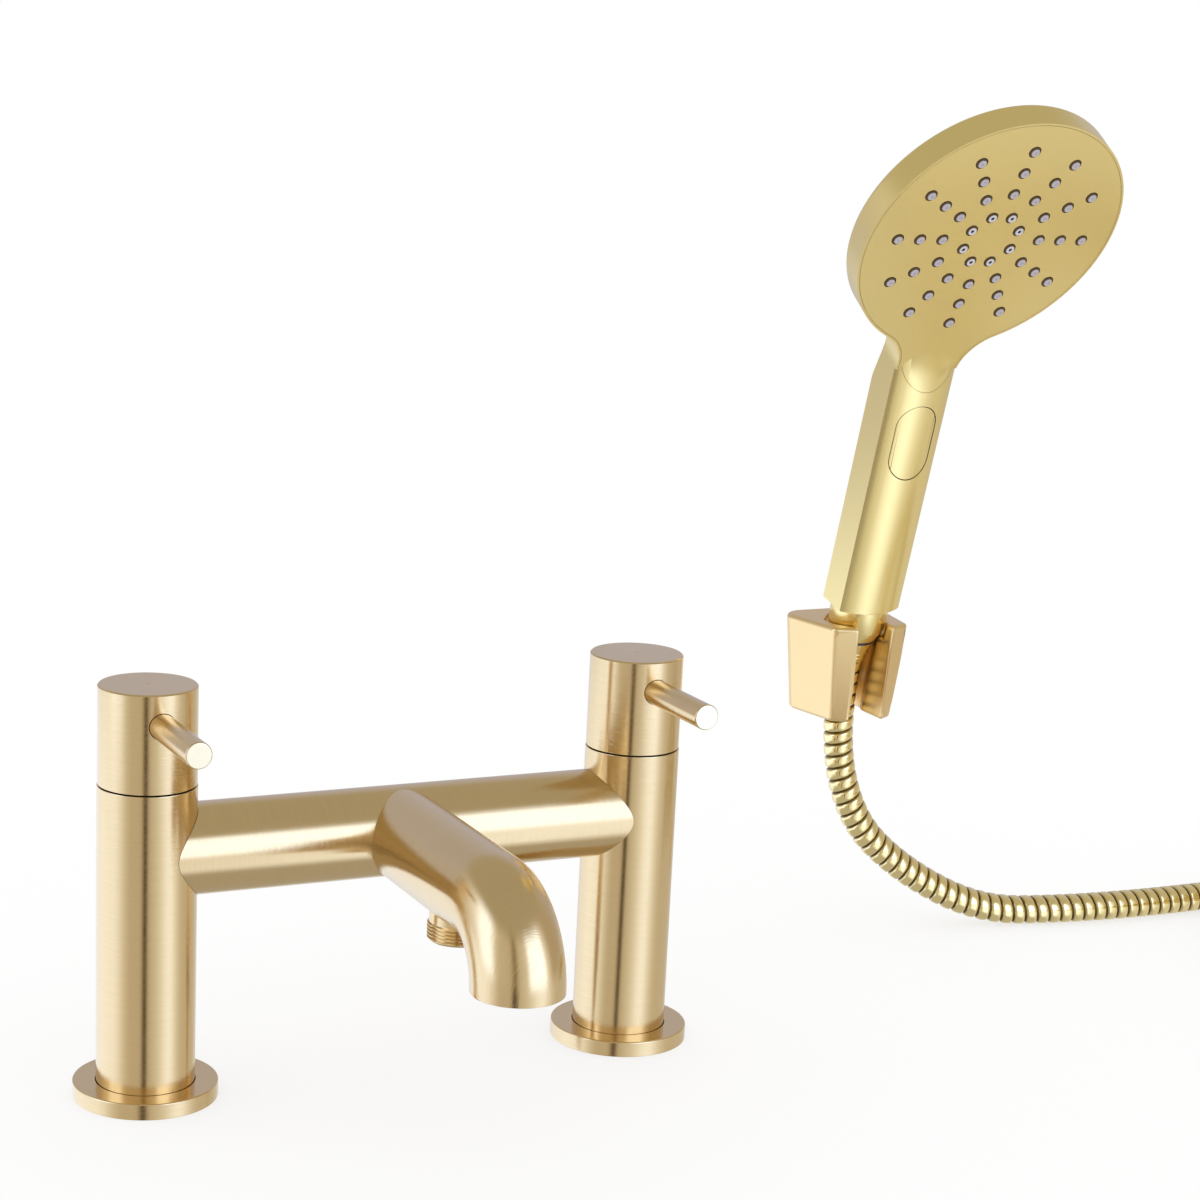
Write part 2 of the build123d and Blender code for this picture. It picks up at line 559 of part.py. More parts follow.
def head_plane():
    """Plane of the spray face: origin at its centre, X across, Y up the face, Z out of it."""
    tilt = math.radians(HEAD_TILT)
    up_face = Vector(0, -math.sin(tilt), math.cos(tilt))
    out_of_face = Vector(0, -math.cos(tilt), -math.sin(tilt))
    centre = Vector(0, HANDLE_FRONT, HANDLE_LENGTH) + up_face * HEAD_RADIUS
    return Plane(origin=centre, x_dir=(1, 0, 0), z_dir=out_of_face)


def neck_outline(inset):
    """Outline in the spray face's plane that joins the round head to the handle with two hollow curves."""
    half_width = HANDLE_WIDTH / 2 - inset
    head_radius = HEAD_RADIUS - inset
    hollow_radius = NECK_FILLET_RADIUS + inset
    hollow_x = half_width + hollow_radius
    reach = head_radius + hollow_radius
    hollow_y = -math.sqrt(reach**2 - hollow_x**2)
    touch_x = hollow_x * head_radius / reach
    touch_y = hollow_y * head_radius / reach
    middle = math.atan2(touch_y - hollow_y, touch_x - hollow_x) / 2 + math.pi / 2
    middle_x = hollow_x + hollow_radius * math.cos(middle)
    middle_y = hollow_y + hollow_radius * math.sin(middle)
    top = Line((-touch_x, touch_y), (touch_x, touch_y))
    right = ThreePointArc((touch_x, touch_y), (middle_x, middle_y), (half_width, hollow_y))
    bottom = Line((half_width, hollow_y), (-half_width, hollow_y))
    left = ThreePointArc((-half_width, hollow_y), (-middle_x, middle_y), (-touch_x, touch_y))
    return make_face(Curve() + [top, right, bottom, left])


def side_slab():
    """Slab with the handset's side view: the straight handle, the tilted head and the hollow back of the neck."""
    face = head_plane()
    front_low = Vector(0, HANDLE_FRONT, 0)
    front_bend = Vector(0, HANDLE_FRONT, HANDLE_LENGTH)
    front_top = face.origin + face.y_dir * HEAD_RADIUS
    back_top = front_top - face.z_dir * HEAD_THICKNESS
    back_line = front_bend - face.z_dir * HEAD_THICKNESS
    run = (HANDLE_BACK - back_line.Y) / face.y_dir.Y
    back_bend = back_line + face.y_dir * run
    back_low = Vector(0, HANDLE_BACK, 0)
    corners = [front_low, front_bend, front_top, back_top, back_bend, back_low]
    outline = make_face(Polyline(*corners, close=True))
    corner = outline.vertices().sort_by_distance(back_bend)[0]
    outline = fillet(corner, NECK_BACK_RADIUS)
    return extrude(outline, HANDLE_WIDTH, both=True)


def tongue_prism(clearance):
    """Prism of the tongue's U outline, through the front of the handle."""
    half_width = TONGUE_HALF_WIDTH + clearance
    tip = HANDLE_LENGTH - TONGUE_LENGTH - clearance
    shoulder = HANDLE_LENGTH - TONGUE_LENGTH * TONGUE_SHOULDER_SHARE
    top = HANDLE_LENGTH + PLATE_THICKNESS
    ellipse = Pos(0, shoulder) * Ellipse(half_width, shoulder - tip)
    outline = ellipse & Pos(0, (tip + shoulder) / 2) * Rectangle(2 * half_width, shoulder - tip)
    outline += Pos(0, (shoulder + top) / 2) * Rectangle(2 * half_width, top - shoulder)
    placed = Plane(origin=(0, 0, 0), x_dir=(1, 0, 0), z_dir=(0, -1, 0)) * outline
    return extrude(placed, -HANDLE_FRONT + OVERRUN)


def plate_body(clearance):
    """The face plate with its tongue, thicker and wider by a clearance for the recess it lies in."""
    face = head_plane()
    depth = PLATE_THICKNESS + clearance
    inset = PLATE_INSET - clearance
    disc = extrude(face * Circle(HEAD_RADIUS - inset), -depth)
    neck = extrude(face * neck_outline(inset), -depth)
    skin = handle_bar(0, 0, HANDLE_LENGTH + HEAD_RADIUS) - handle_bar(depth, -OVERRUN, HANDLE_LENGTH + HEAD_RADIUS + OVERRUN)
    tongue = skin & tongue_prism(clearance)
    return disc + neck + tongue


def obround_prism(half_width, low, high, front, back):
    """Prism of the button's rounded outline along Y, from front to back."""
    height = high - low
    outline = Pos(0, (low + high) / 2) * SlotOverall(height, 2 * half_width, rotation=90)
    placed = Plane(origin=(0, front, 0), x_dir=(1, 0, 0), z_dir=(0, -1, 0)) * outline
    return extrude(placed, front - back)


def make_handset_shell():
    """Hollow handle and head in one moulding, open for the plate, the button and the inlet."""
    face = head_plane()
    bar = handle_bar(0, 0, HANDLE_LENGTH + HEAD_RADIUS) & side_slab()
    head = extrude(face * Circle(HEAD_RADIUS), -HEAD_THICKNESS)
    back_edge = head.edges().sort_by(lambda edge: -face.to_local_coords(edge.center()).Z)[-1]
    head = fillet(back_edge, HEAD_BACK_FILLET)
    neck = extrude(face * neck_outline(0), -HEAD_THICKNESS)
    shell = bar + head + neck
    shell -= plate_body(SEAT_CLEARANCE)
    cavity_front = PLATE_THICKNESS + SEAT_CLEARANCE
    cavity_floor = face.offset(-cavity_front - HEAD_CAVITY_DEPTH)
    cavity_radius = HEAD_RADIUS - PLATE_INSET - HEAD_WALL
    shell -= extrude(cavity_floor * Circle(cavity_radius), HEAD_CAVITY_DEPTH)
    shell -= handle_bar(HANDLE_WALL, HANDLE_FLOOR, HANDLE_CAVITY_TOP)
    way_low = Vector(0, HANDLE_WALL, HANDLE_CAVITY_TOP - OVERRUN)
    way_high = cavity_floor.origin - face.y_dir * (cavity_radius - WATERWAY_RADIUS / 2)
    shell -= rod(way_low, way_high - way_low, WATERWAY_RADIUS, (way_high - way_low).length)
    shell -= disc_z(NIPPLE_SPIGOT_RADIUS + FIT_CLEARANCE, -OVERRUN, HANDLE_FLOOR + OVERRUN)
    half_width = BUTTON_HALF_WIDTH + 2 * SEAT_CLEARANCE
    low = BUTTON_LOW - 2 * SEAT_CLEARANCE
    high = BUTTON_LOW + BUTTON_LENGTH + 2 * SEAT_CLEARANCE
    return shell - obround_prism(half_width, low, high, HANDLE_FRONT - OVERRUN, 0)


def nozzle_places():
    """Places of the spray holes on the face, as shares of the head's radius turned into millimetres."""
    places = []
    for share in NOZZLE_RING_SHARES:
        for spoke in range(NOZZLE_SPOKES):
            angle = 2 * math.pi * spoke / NOZZLE_SPOKES
            places.append((HEAD_RADIUS * share * math.cos(angle), HEAD_RADIUS * share * math.sin(angle)))
    for hole in range(NOZZLE_INNER_COUNT):
        angle = 2 * math.pi * (hole + 0.5) / NOZZLE_INNER_COUNT
        radius = HEAD_RADIUS * NOZZLE_INNER_RING_SHARE
        places.append((radius * math.cos(angle), radius * math.sin(angle)))
    return places


def make_face_plate():
    """Round spray plate with its nozzle holes and the tongue down the handle."""
    face = head_plane()
    cutters = []
    for x, y in nozzle_places():
        centre = face.from_local_coords((x, y, OVERRUN))
        cutters.append(rod(centre, -face.z_dir, NOZZLE_HOLE_RADIUS, OVERRUN + HEAD_THICKNESS / 2))
    return plate_body(0.0).cut(*cutters)


def make_nozzle_pad():
    """Soft pad behind the plate that holds the nozzles."""
    face = head_plane()
    top = face.offset(-PLATE_THICKNESS)
    radius = HEAD_RADIUS - PLATE_INSET - HEAD_WALL - SEAT_CLEARANCE
    return extrude(top * Circle(radius), -PAD_THICKNESS)


def make_button():
    """Push button that changes the spray, flush with the handle's crowned front."""
    crown = handle_bar(BUTTON_INSET, 0, HANDLE_LENGTH)
    back = HANDLE_FRONT + BUTTON_DEPTH
    prism = obround_prism(BUTTON_HALF_WIDTH, BUTTON_LOW, BUTTON_LOW + BUTTON_LENGTH, HANDLE_FRONT - OVERRUN, back)
    return crown & prism


def make_spray_valve():
    """Valve inside the handle that the button pushes."""
    low = HANDLE_CAVITY_TOP - SPRAY_VALVE_LENGTH
    y = HANDLE_BACK - HANDLE_WALL - SPRAY_VALVE_RADIUS - SEAT_CLEARANCE
    return disc_z(SPRAY_VALVE_RADIUS, low, low + SPRAY_VALVE_LENGTH, 0, y)


def make_nipple():
    """Threaded inlet at the lower end of the handle."""
    body = disc_z(NIPPLE_THREAD_RADIUS, -NIPPLE_THREAD_LENGTH, 0)
    body += disc_z(NIPPLE_SPIGOT_RADIUS, -FACE_GAP, NIPPLE_SPIGOT_LENGTH)
    return body - disc_z(NIPPLE_BORE_RADIUS, -NIPPLE_THREAD_LENGTH - OVERRUN, NIPPLE_SPIGOT_LENGTH + OVERRUN)


def nut_profile(clearance, low):
    """Cone of the hose nut down to low, wider by a clearance for its socket."""
    top = NUT_TOP_RADIUS + clearance
    waist = NUT_WAIST_RADIUS + clearance
    end = NUT_END_RADIUS + clearance
    points = [(0, 0), (top, 0), (waist, -NUT_WAIST_DEPTH), (end, NUT_BOTTOM)]
    if low < NUT_BOTTOM:
        points.append((end, low))
    points.append((0, low))
    return revolve(make_face(Plane.XZ * Polyline(*points, close=True)), Axis.Z)


def make_cone_nut():
    """Conical hose nut that screws on to the inlet and seats in the bracket."""
    body = nut_profile(0.0, NUT_BOTTOM)
    body = Pos(0, 0, -FACE_GAP) * body
    bore_floor = -NIPPLE_THREAD_LENGTH - NUT_SEAL_THICKNESS - COLLAR_THICKNESS - 3 * FACE_GAP
    body -= disc_z(NIPPLE_THREAD_RADIUS + FIT_CLEARANCE, bore_floor, OVERRUN)
    return body - disc_z(STEM_RADIUS + FIT_CLEARANCE, NUT_BOTTOM - OVERRUN, OVERRUN)


def make_nut_seal():
    """Rubber washer between the inlet and the hose's collar."""
    top = -NIPPLE_THREAD_LENGTH
    body = disc_z(NIPPLE_THREAD_RADIUS - SEAT_CLEARANCE, top - NUT_SEAL_THICKNESS, top)
    return body - disc_z(HOSE_BORE_RADIUS, top - OVERRUN, OVERRUN)


def make_swivel_ring():
    """Black plastic ring that the nut turns on."""
    body = disc_z(SWIVEL_RING_RADIUS, SWIVEL_BOTTOM, SWIVEL_BOTTOM + SWIVEL_RING_THICKNESS)
    return body - disc_z(STEM_RADIUS + FIT_CLEARANCE, SWIVEL_BOTTOM - OVERRUN, OVERRUN)


def ferrule_cone(plane):
    """Tapered shell of a ferrule, from its wide end on the plane to its narrow end along the plane's axis."""
    middle = plane.offset(FERRULE_LENGTH / 2)
    return middle.location * Cone(FERRULE_RADIUS, FERRULE_END_RADIUS, FERRULE_LENGTH)


def make_ferrule():
    """Ferrule crimped on the hose, with the stem and collar that the nut holds."""
    collar_top = -NIPPLE_THREAD_LENGTH - NUT_SEAL_THICKNESS - FACE_GAP
    body = ferrule_cone(Plane((0, 0, SWIVEL_BOTTOM), z_dir=(0, 0, -1)))
    body += disc_z(STEM_RADIUS, SWIVEL_BOTTOM - FACE_GAP, collar_top)
    body += disc_z(COLLAR_RADIUS, collar_top - COLLAR_THICKNESS, collar_top)
    return body - disc_z(HOSE_BORE_RADIUS, FERRULE_BOTTOM - OVERRUN, OVERRUN)


# Wall bracket


def bracket_outline(share, z):
    """Plan of the bracket at one height: flat back, rounded back corners, flared sides and two front facets."""
    wall = WALL_Y - BRACKET_AXIS_Y
    back_y = wall + FACE_GAP
    half = BRACKET_HALF_WIDTH * share
    facet = BRACKET_FACET_HALF_WIDTH * share
    slot = BRACKET_SLOT_WIDTH / 2
    front = wall - (wall + BRACKET_FRONT) * (1 + share) / 2
    corner = BRACKET_CORNER_RADIUS
    diagonal = corner * (1 - math.sqrt(0.5))
    right_front = Line((slot, front), (facet, front + BRACKET_FACET_SETBACK))
    right_side = Line((facet, front + BRACKET_FACET_SETBACK), (half, back_y - corner))
    right_corner = ThreePointArc((half, back_y - corner), (half - diagonal, back_y - diagonal), (half - corner, back_y))
    back = Line((half - corner, back_y), (corner - half, back_y))
    left_corner = ThreePointArc((corner - half, back_y), (diagonal - half, back_y - diagonal), (-half, back_y - corner))
    left_side = Line((-half, back_y - corner), (-facet, front + BRACKET_FACET_SETBACK))
    left_front = Line((-facet, front + BRACKET_FACET_SETBACK), (-slot, front))
    middle = Line((-slot, front), (slot, front))
    edges = [right_front, right_side, right_corner, back, left_corner, left_side, left_front, middle]
    return Pos(BRACKET_X, BRACKET_AXIS_Y, z) * make_face(Curve() + edges)


def make_bracket():
    """Wall bracket with a conical socket, a slot for the hose down its front and two screw holes."""
    body = loft([bracket_outline(BRACKET_BOTTOM_SHARE, BRACKET_BOTTOM), bracket_outline(1, BRACKET_TOP)], ruled=True)
    beyond_wall = Box(3 * BRACKET_HALF_WIDTH, OVERRUN, 3 * BRACKET_HEIGHT, align=(Align.CENTER, Align.MIN, Align.CENTER))
    body -= Pos(BRACKET_X, WALL_Y, BRACKET_TOP) * beyond_wall
    socket = nut_profile(SOCKET_CLEARANCE, FERRULE_BOTTOM - BRACKET_HEIGHT)
    socket += disc_z(NUT_TOP_RADIUS + SOCKET_RIM_GAP, -NUT_WAIST_DEPTH - OVERRUN / 2, 0)
    body -= handset_place() * socket
    slot_depth = BRACKET_FRONT + OVERRUN
    slot = Box(BRACKET_SLOT_WIDTH, slot_depth, 3 * BRACKET_HEIGHT, align=(Align.CENTER, Align.MAX, Align.CENTER))
    body -= Pos(BRACKET_X, BRACKET_AXIS_Y, BRACKET_TOP) * slot
    slanted = Box(BRACKET_SLOT_WIDTH, slot_depth, 4 * BRACKET_HEIGHT, align=(Align.CENTER, Align.MAX, Align.CENTER))
    body -= handset_place() * slanted
    for z in screw_heights():
        start = (BRACKET_X, BRACKET_AXIS_Y, z)
        body -= rod(start, (0, 1, 0), SCREW_HOLE_RADIUS, BRACKET_AXIS_TO_WALL + OVERRUN)
        body -= rod(start, (0, 1, 0), SCREW_HEAD_RADIUS, BRACKET_AXIS_TO_WALL - SCREW_SEAT_THICKNESS)
    return body


def screw_heights():
    """Heights of the two wall screws."""
    middle = BRACKET_TOP - BRACKET_HEIGHT / 2
    return [middle - SCREW_SPACING / 2, middle + SCREW_SPACING / 2]


# Hose


def hose_radii(points):
    """The radius of each corner's arc: 0.45 of the shorter run, divided by the tangent of half the turn."""
    radii = []
    for before, corner, after in zip(points, points[1:], points[2:]):
        first = Vector(*corner) - Vector(*before)
        second = Vector(*after) - Vector(*corner)
        half_turn = math.radians(first.get_angle(second)) / 2
        radii.append(0.45 * min(first.length, second.length) / math.tan(half_turn))
    return radii


def hose_route():
    """All points of the free hose: in line with the ferrule first, then the route, then square to the coil."""
    place = handset_place()
    start = (place * Pos(0, 0, FERRULE_BOTTOM)).position
    below = (place * Pos(0, 0, FERRULE_BOTTOM - HOSE_STRAIGHT)).position
    last_y, last_z = HOSE_ROUTE[-1][1:]
    return [tuple(start), tuple(below), *HOSE_ROUTE, (HOSE_RUN_END_X, last_y, last_z)]


def rib_stations(length):
    """Distance and radius of every ring along the hose: crest, flank, groove, flank, crest."""
    count = round(length / HOSE_RIB_SPACING)
    pitch = length / count
    half_groove = pitch * HOSE_GROOVE_SHARE / 2
    half_gap = half_groove + pitch * HOSE_FLANK_SHARE
    groove_radius = HOSE_RADIUS - HOSE_GROOVE_DEPTH
    stations = [(0, HOSE_RADIUS)]
    for rib in range(1, count):
        middle = rib * pitch
        stations.append((middle - half_gap, HOSE_RADIUS))
        stations.append((middle - half_groove, groove_radius))
        stations.append((middle + half_groove, groove_radius))
        stations.append((middle + half_gap, HOSE_RADIUS))
    stations.append((length, HOSE_RADIUS))
    print("hose ribs", count, "length", round(length, 1))
    return stations


def make_hose_run():
    """The ribbed stretch of the hose: rings of crests and grooves along the route, bored through."""
    points = hose_route()
    radii = hose_radii(points)
    print("hose radii", [round(radius, 1) for radius in radii])
    path = FilletPolyline(*points, radius=radii)
    steady = Vector(0, 1, 0)
    sections = []
    for distance, radius in rib_stations(path.length):
        tangent = path.tangent_at(distance / path.length)
        across = steady - tangent * steady.dot(tangent)
        plane = Plane(origin=path.position_at(distance / path.length), x_dir=across, z_dir=tangent)
        sections.append(plane * Circle(radius))
    body = loft(sections, ruled=True)
    bore = sweep(Plane(origin=path @ 0, z_dir=path % 0) * Circle(HOSE_BORE_RADIUS), path=path)
    return body - bore


def coil_radii():
    """Radius of each half-turn: inwards on the floor, up a layer in the middle one, and out again on top."""
    step = (HOSE_DIAMETER + COIL_TURN_GAP) / 2
    inwards = [COIL_RADIUS - turn * step for turn in range(COIL_LAYER_HALF_TURNS + 1)]
    return inwards + inwards[-2::-1]


def coil_path():
    """Neat coil of half-turn arcs in two layers, with the free end led off and down to the height of its nut."""
    last_y, last_z = HOSE_ROUTE[-1][1:]
    here = Vector(COIL_X, last_y, last_z)
    pieces = [Line((HOSE_RUN_END_X, last_y, last_z), here)]
    side = 1
    radii = coil_radii()
    for radius in radii:
        rise = HOSE_DIAMETER + COIL_TURN_GAP if radius == min(radii) else 0
        there = here + Vector(0, -side * math.sqrt(4 * radius**2 - rise**2), rise)
        middle = (here + there) / 2 + Vector(side * radius, 0, 0)
        pieces.append(ThreePointArc(here, middle, there))
        here = there
        side = -side
    return Wire(pieces + coil_exit(here, side))


def coil_exit(here, side):
    """The free end: straight off the coil, down in two easy arcs, and straight again into its ferrule."""
    lead = Vector(side * HOSE_DIAMETER, 0, 0)
    drop = Vector(0, 0, END_NUT_ACROSS_FLATS / 2 - here.Z)
    half_slope = (Vector(side * COIL_EXIT_LENGTH, 0, 0) - 2 * lead + drop) / 2
    first = here + lead
    middle = first + half_slope
    last = middle + half_slope
    upper = TangentArc(first, middle, tangent=lead)
    lower = ThreePointArc(middle, middle * 2 - (upper @ 0.5), last)
    return [Line(here, first), upper, lower, Line(last, last + lead)]


def make_hose_coil(path):
    """The put-away length of hose, one unbroken tube wound in two layers."""
    section = Plane(origin=path @ 0, z_dir=path % 0) * RegularPolygon(HOSE_RADIUS, HOSE_SIDES)
    body = sweep(section, path=path)
    print("coil length", round(path.length, 1), "least gap", round(least_gap(path), 2))
    print("coil volume", round(body.volume), "section times length", round(section.area * path.length))
    return body


def least_gap(path):
    """Least distance between the coil's surfaces, measured on points of its own centre line."""
    count = 400
    points = [path.position_at(step / count) for step in range(count + 1)]
    step_length = path.length / count
    apart = math.ceil(4 * HOSE_DIAMETER / step_length)
    least = min(
        (points[first] - points[second]).length
        for first in range(count + 1)
        for second in range(first + apart, count + 1)
    )
    return least - HOSE_DIAMETER


def make_end_fittings(path):
    """Ferrule, washer and hexagonal nut on the free end of the hose."""
    end = path @ 1
    along = path % 1
    frame = Plane(origin=end, z_dir=along, x_dir=(0, 0, 1))
    ferrule = ferrule_cone(Plane(origin=end + along * FERRULE_LENGTH, z_dir=-along))
    nut_start = frame.offset(FERRULE_LENGTH + FACE_GAP)
    stem = extrude(frame.offset(FERRULE_LENGTH - FACE_GAP) * Circle(STEM_RADIUS), END_NUT_FLOOR + COLLAR_THICKNESS + 2 * FACE_GAP)
    collar = extrude(frame.offset(FERRULE_LENGTH + END_NUT_FLOOR + 2 * FACE_GAP) * Circle(COLLAR_RADIUS), COLLAR_THICKNESS)
    ferrule = ferrule + stem + collar
    ferrule -= extrude(frame * Circle(HOSE_BORE_RADIUS), 3 * FERRULE_LENGTH)
    corner_radius = END_NUT_ACROSS_FLATS / math.sqrt(3)
    nut = extrude(nut_start * RegularPolygon(corner_radius, 6, rotation=30), END_NUT_LENGTH)
    thread_start = END_NUT_FLOOR + COLLAR_THICKNESS + NUT_SEAL_THICKNESS + 2 * FACE_GAP
    seat = Circle(END_NUT_BORE_RADIUS + END_NUT_RELIEF_DEPTH)
    nut -= extrude(nut_start.offset(END_NUT_FLOOR) * seat, thread_start - END_NUT_FLOOR)
    nut -= extrude(nut_start.offset(thread_start) * Circle(END_NUT_BORE_RADIUS), END_NUT_LENGTH)
    nut -= extrude(nut_start * Circle(STEM_RADIUS + FIT_CLEARANCE), END_NUT_LENGTH)
    seal_start = frame.offset(FERRULE_LENGTH + END_NUT_FLOOR + COLLAR_THICKNESS + 2 * FACE_GAP)
    seal = extrude(seal_start * Circle(END_NUT_BORE_RADIUS - FIT_CLEARANCE), NUT_SEAL_THICKNESS)
    seal -= extrude(seal_start * Circle(HOSE_BORE_RADIUS), NUT_SEAL_THICKNESS)
    return ferrule, nut, seal


def main():
    """Builds every node and writes it."""
    for name, side in SIDES.items():
        x = side * TAP_SPACING / 2
        save(make_flange(x), f"flange_{name}")
        save(make_gasket(x), f"flange_gasket_{name}")
        save(make_tail(x), f"tail_{name}")
        save(make_washer(x), f"deck_washer_{name}")
        save(make_back_nut(x), f"back_nut_{name}")
        save(make_pillar(x, side), f"pillar_{name}")
        save(make_valve_body(x, side), f"valve_body_{name}")
        save(make_disc(x, fixed_disc_bottom(), VALVE_CAVITY_RADIUS - FIT_CLEARANCE, 0), f"fixed_disc_{name}")
        turning_radius = VALVE_CAVITY_RADIUS - 2 * SEAT_CLEARANCE
        save(make_disc(x, turning_disc_bottom(), turning_radius, 180), f"turning_disc_{name}")
        save(make_spindle(x), f"spindle_{name}")
        save(make_knob(x), f"knob_{name}")
        save(make_lever(x), f"lever_{name}")
    save(make_bridge(), "bridge_tube")
    save(make_spout(), "spout_tube")
    save(make_aerator_housing(), "aerator_housing")
    save(make_aerator_insert(), "aerator_insert")
    save(make_shower_outlet(), "shower_outlet")
    save(make_check_valve(), "check_valve")
    save(make_diverter_cartridge(), "diverter_cartridge")
    save(make_diverter_spindle(), "diverter_spindle")
    save(make_diverter_knob(), "diverter_knob")
    save(make_bracket(), "wall_bracket")
    place = handset_place()
    save(place * make_handset_shell(), "handset_shell")
    save(place * make_face_plate(), "face_plate")
    save(place * make_nozzle_pad(), "nozzle_pad")
    save(place * make_button(), "spray_button")
    save(place * make_spray_valve(), "spray_valve")
    save(place * make_nipple(), "handset_nipple")
    save(place * make_cone_nut(), "cone_nut")
    save(place * make_nut_seal(), "nut_seal")
    save(place * make_swivel_ring(), "swivel_ring")
    save(place * make_ferrule(), "hose_ferrule")
    save(make_hose_run(), "hose_run")
    path = coil_path()
    save(make_hose_coil(path), "hose_coil")
    ferrule, nut, seal = make_end_fittings(path)
    save(ferrule, "hose_end_ferrule")
    save(nut, "hose_end_nut")
    save(seal, "hose_end_seal")


main()
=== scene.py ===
"""Looks of the bath shower mixer: camera, light, finishes, finished pieces and the metal hose.

The sizes of the sub-assemblies are in millimetres and become metres on the bench; only the hose,
the camera's eye and the floor are given in metres.
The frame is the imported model's: X along the bridge, the spout towards -Y, Z up,
and the deck at zero.
"""

import logging
import math
from collections.abc import Sequence
from dataclasses import dataclass
from enum import Enum

import bpy
from mathutils import Matrix, Vector


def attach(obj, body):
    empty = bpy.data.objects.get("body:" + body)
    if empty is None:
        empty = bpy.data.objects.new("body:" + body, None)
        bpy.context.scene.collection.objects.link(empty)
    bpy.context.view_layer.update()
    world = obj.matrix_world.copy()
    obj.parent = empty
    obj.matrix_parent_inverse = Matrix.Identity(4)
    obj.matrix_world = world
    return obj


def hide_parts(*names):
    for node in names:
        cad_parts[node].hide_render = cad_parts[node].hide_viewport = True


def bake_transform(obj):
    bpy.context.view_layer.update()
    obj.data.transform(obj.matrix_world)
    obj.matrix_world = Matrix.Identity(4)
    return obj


logging.basicConfig(level=logging.INFO, format="%(levelname)s %(name)s %(message)s")
log = logging.getLogger("mixer")

MM = 0.001
PILLAR_X = 90.0
HANDS = (("left", -PILLAR_X), ("right", PILLAR_X))
HOLE_SIDES = 64
SIDES = 96
ROUND_SIDES = 128
FINE_SIDES = 160
MERGE_GAP = 0.002
FLAT_ANGLE = 0.4
SHARP_ANGLE = 35.0
CREST_START = 0.4
OVERCUT = 1.0
LONG_OVERCUT = 5.0
WHITE = (1.0, 1.0, 1.0, 1.0)
TO_FRONT = Matrix.Rotation(math.pi / 2, 4, "X")
TO_BACK = Matrix.Rotation(-math.pi / 2, 4, "X")
Piece = bpy.types.Object
Pair = tuple[float, float]
Triple = tuple[float, float, float]
Levels = tuple[Pair, ...]
Rings = Sequence[Pair]
Colour = Triple
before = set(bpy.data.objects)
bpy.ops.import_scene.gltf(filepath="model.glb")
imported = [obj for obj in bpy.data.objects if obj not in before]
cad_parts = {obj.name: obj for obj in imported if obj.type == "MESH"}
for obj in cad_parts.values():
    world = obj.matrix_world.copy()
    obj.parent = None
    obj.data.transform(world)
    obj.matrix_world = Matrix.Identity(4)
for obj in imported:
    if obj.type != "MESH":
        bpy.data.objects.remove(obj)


# Bench


def pick(piece: Piece) -> None:
    """Makes the piece the only one selected, and the active one."""
    bpy.ops.object.select_all(action="DESELECT")
    piece.select_set(True)
    bpy.context.view_layer.objects.active = piece


def edit(piece: Piece) -> None:
    """Opens the piece in edit mode with all of it selected."""
    pick(piece)
    bpy.ops.object.mode_set(mode="EDIT")
    bpy.ops.mesh.select_all(action="SELECT")


def close(piece: Piece) -> Piece:
    """Points the faces outwards, leaves edit mode and applies the place."""
    bpy.ops.mesh.select_all(action="SELECT")
    bpy.ops.mesh.normals_make_consistent(inside=False)
    bpy.ops.object.mode_set(mode="OBJECT")
    bpy.ops.object.transform_apply(location=True, rotation=True, scale=True)
    return piece


def turned(name: str, rings: Rings, sides: int = ROUND_SIDES, hollow: bool = False) -> Piece:
    """Turns a piece about Z from a circle that is extruded and resized ring by ring.

    Args:
        name: the piece's name.
        rings: radius and height of each ring, in millimetres.
        sides: sides of the circle.
        hollow: joins the last ring to the first, for a wall that goes all round.

    Returns:
        The closed piece at the origin.
    """
    bpy.ops.object.select_all(action="DESELECT")
    radius, height = rings[0]
    bpy.ops.mesh.primitive_circle_add(vertices=sides, radius=radius * MM, location=(0.0, 0.0, height * MM))
    piece = bpy.context.object
    piece.name = name
    edit(piece)
    for (radius, height), (next_radius, next_height) in zip(rings, rings[1:]):
        push(z=next_height - height)
        share = next_radius / radius
        bpy.ops.transform.resize(value=(share, share, 1.0), center_override=(0.0, 0.0, 0.0))
    bpy.ops.mesh.select_all(action="SELECT")
    if hollow:
        bpy.ops.mesh.region_to_loop()
        bpy.ops.mesh.bridge_edge_loops()
    else:
        bpy.ops.mesh.fill_holes(sides=0)
    return close(piece)


def push(x: float = 0.0, y: float = 0.0, z: float = 0.0) -> None:
    """Extrudes what is selected by that many millimetres."""
    bpy.ops.mesh.extrude_region_move(TRANSFORM_OT_translate={"value": (x * MM, y * MM, z * MM)})


def rod(radius: float, *heights: float) -> Rings:
    """Rings of one radius at those heights."""
    return [(radius, height) for height in heights]


def square(inner: float, outer: float, low: float, high: float) -> Rings:
    """Rings of a washer or a sleeve."""
    return [(inner, low), (outer, low), (outer, high), (inner, high)]


def placed(piece: Piece, place: Matrix) -> Piece:
    """Moves the piece's mesh to its place in the frame."""
    pick(piece)
    piece.matrix_world = place
    bpy.ops.object.transform_apply(location=True, rotation=True, scale=True)
    return piece


def at(x: float = 0.0, y: float = 0.0, z: float = 0.0) -> Matrix:
    """Returns the place that many millimetres from the origin."""
    return Matrix.Translation(Vector((x, y, z)) * MM)


def carved(piece: Piece, *cutters: Piece, operation: str = "DIFFERENCE") -> Piece:
    """Cuts the piece with each cutter, or joins or trims it with them, and throws the cutters away."""
    for cutter in cutters:
        pick(piece)
        carve = piece.modifiers.new("carve", "BOOLEAN")
        carve.object = cutter
        carve.operation = operation
        carve.solver = "EXACT"
        bpy.ops.object.modifier_apply(modifier=carve.name)
        bpy.data.objects.remove(cutter, do_unlink=True)
    return piece


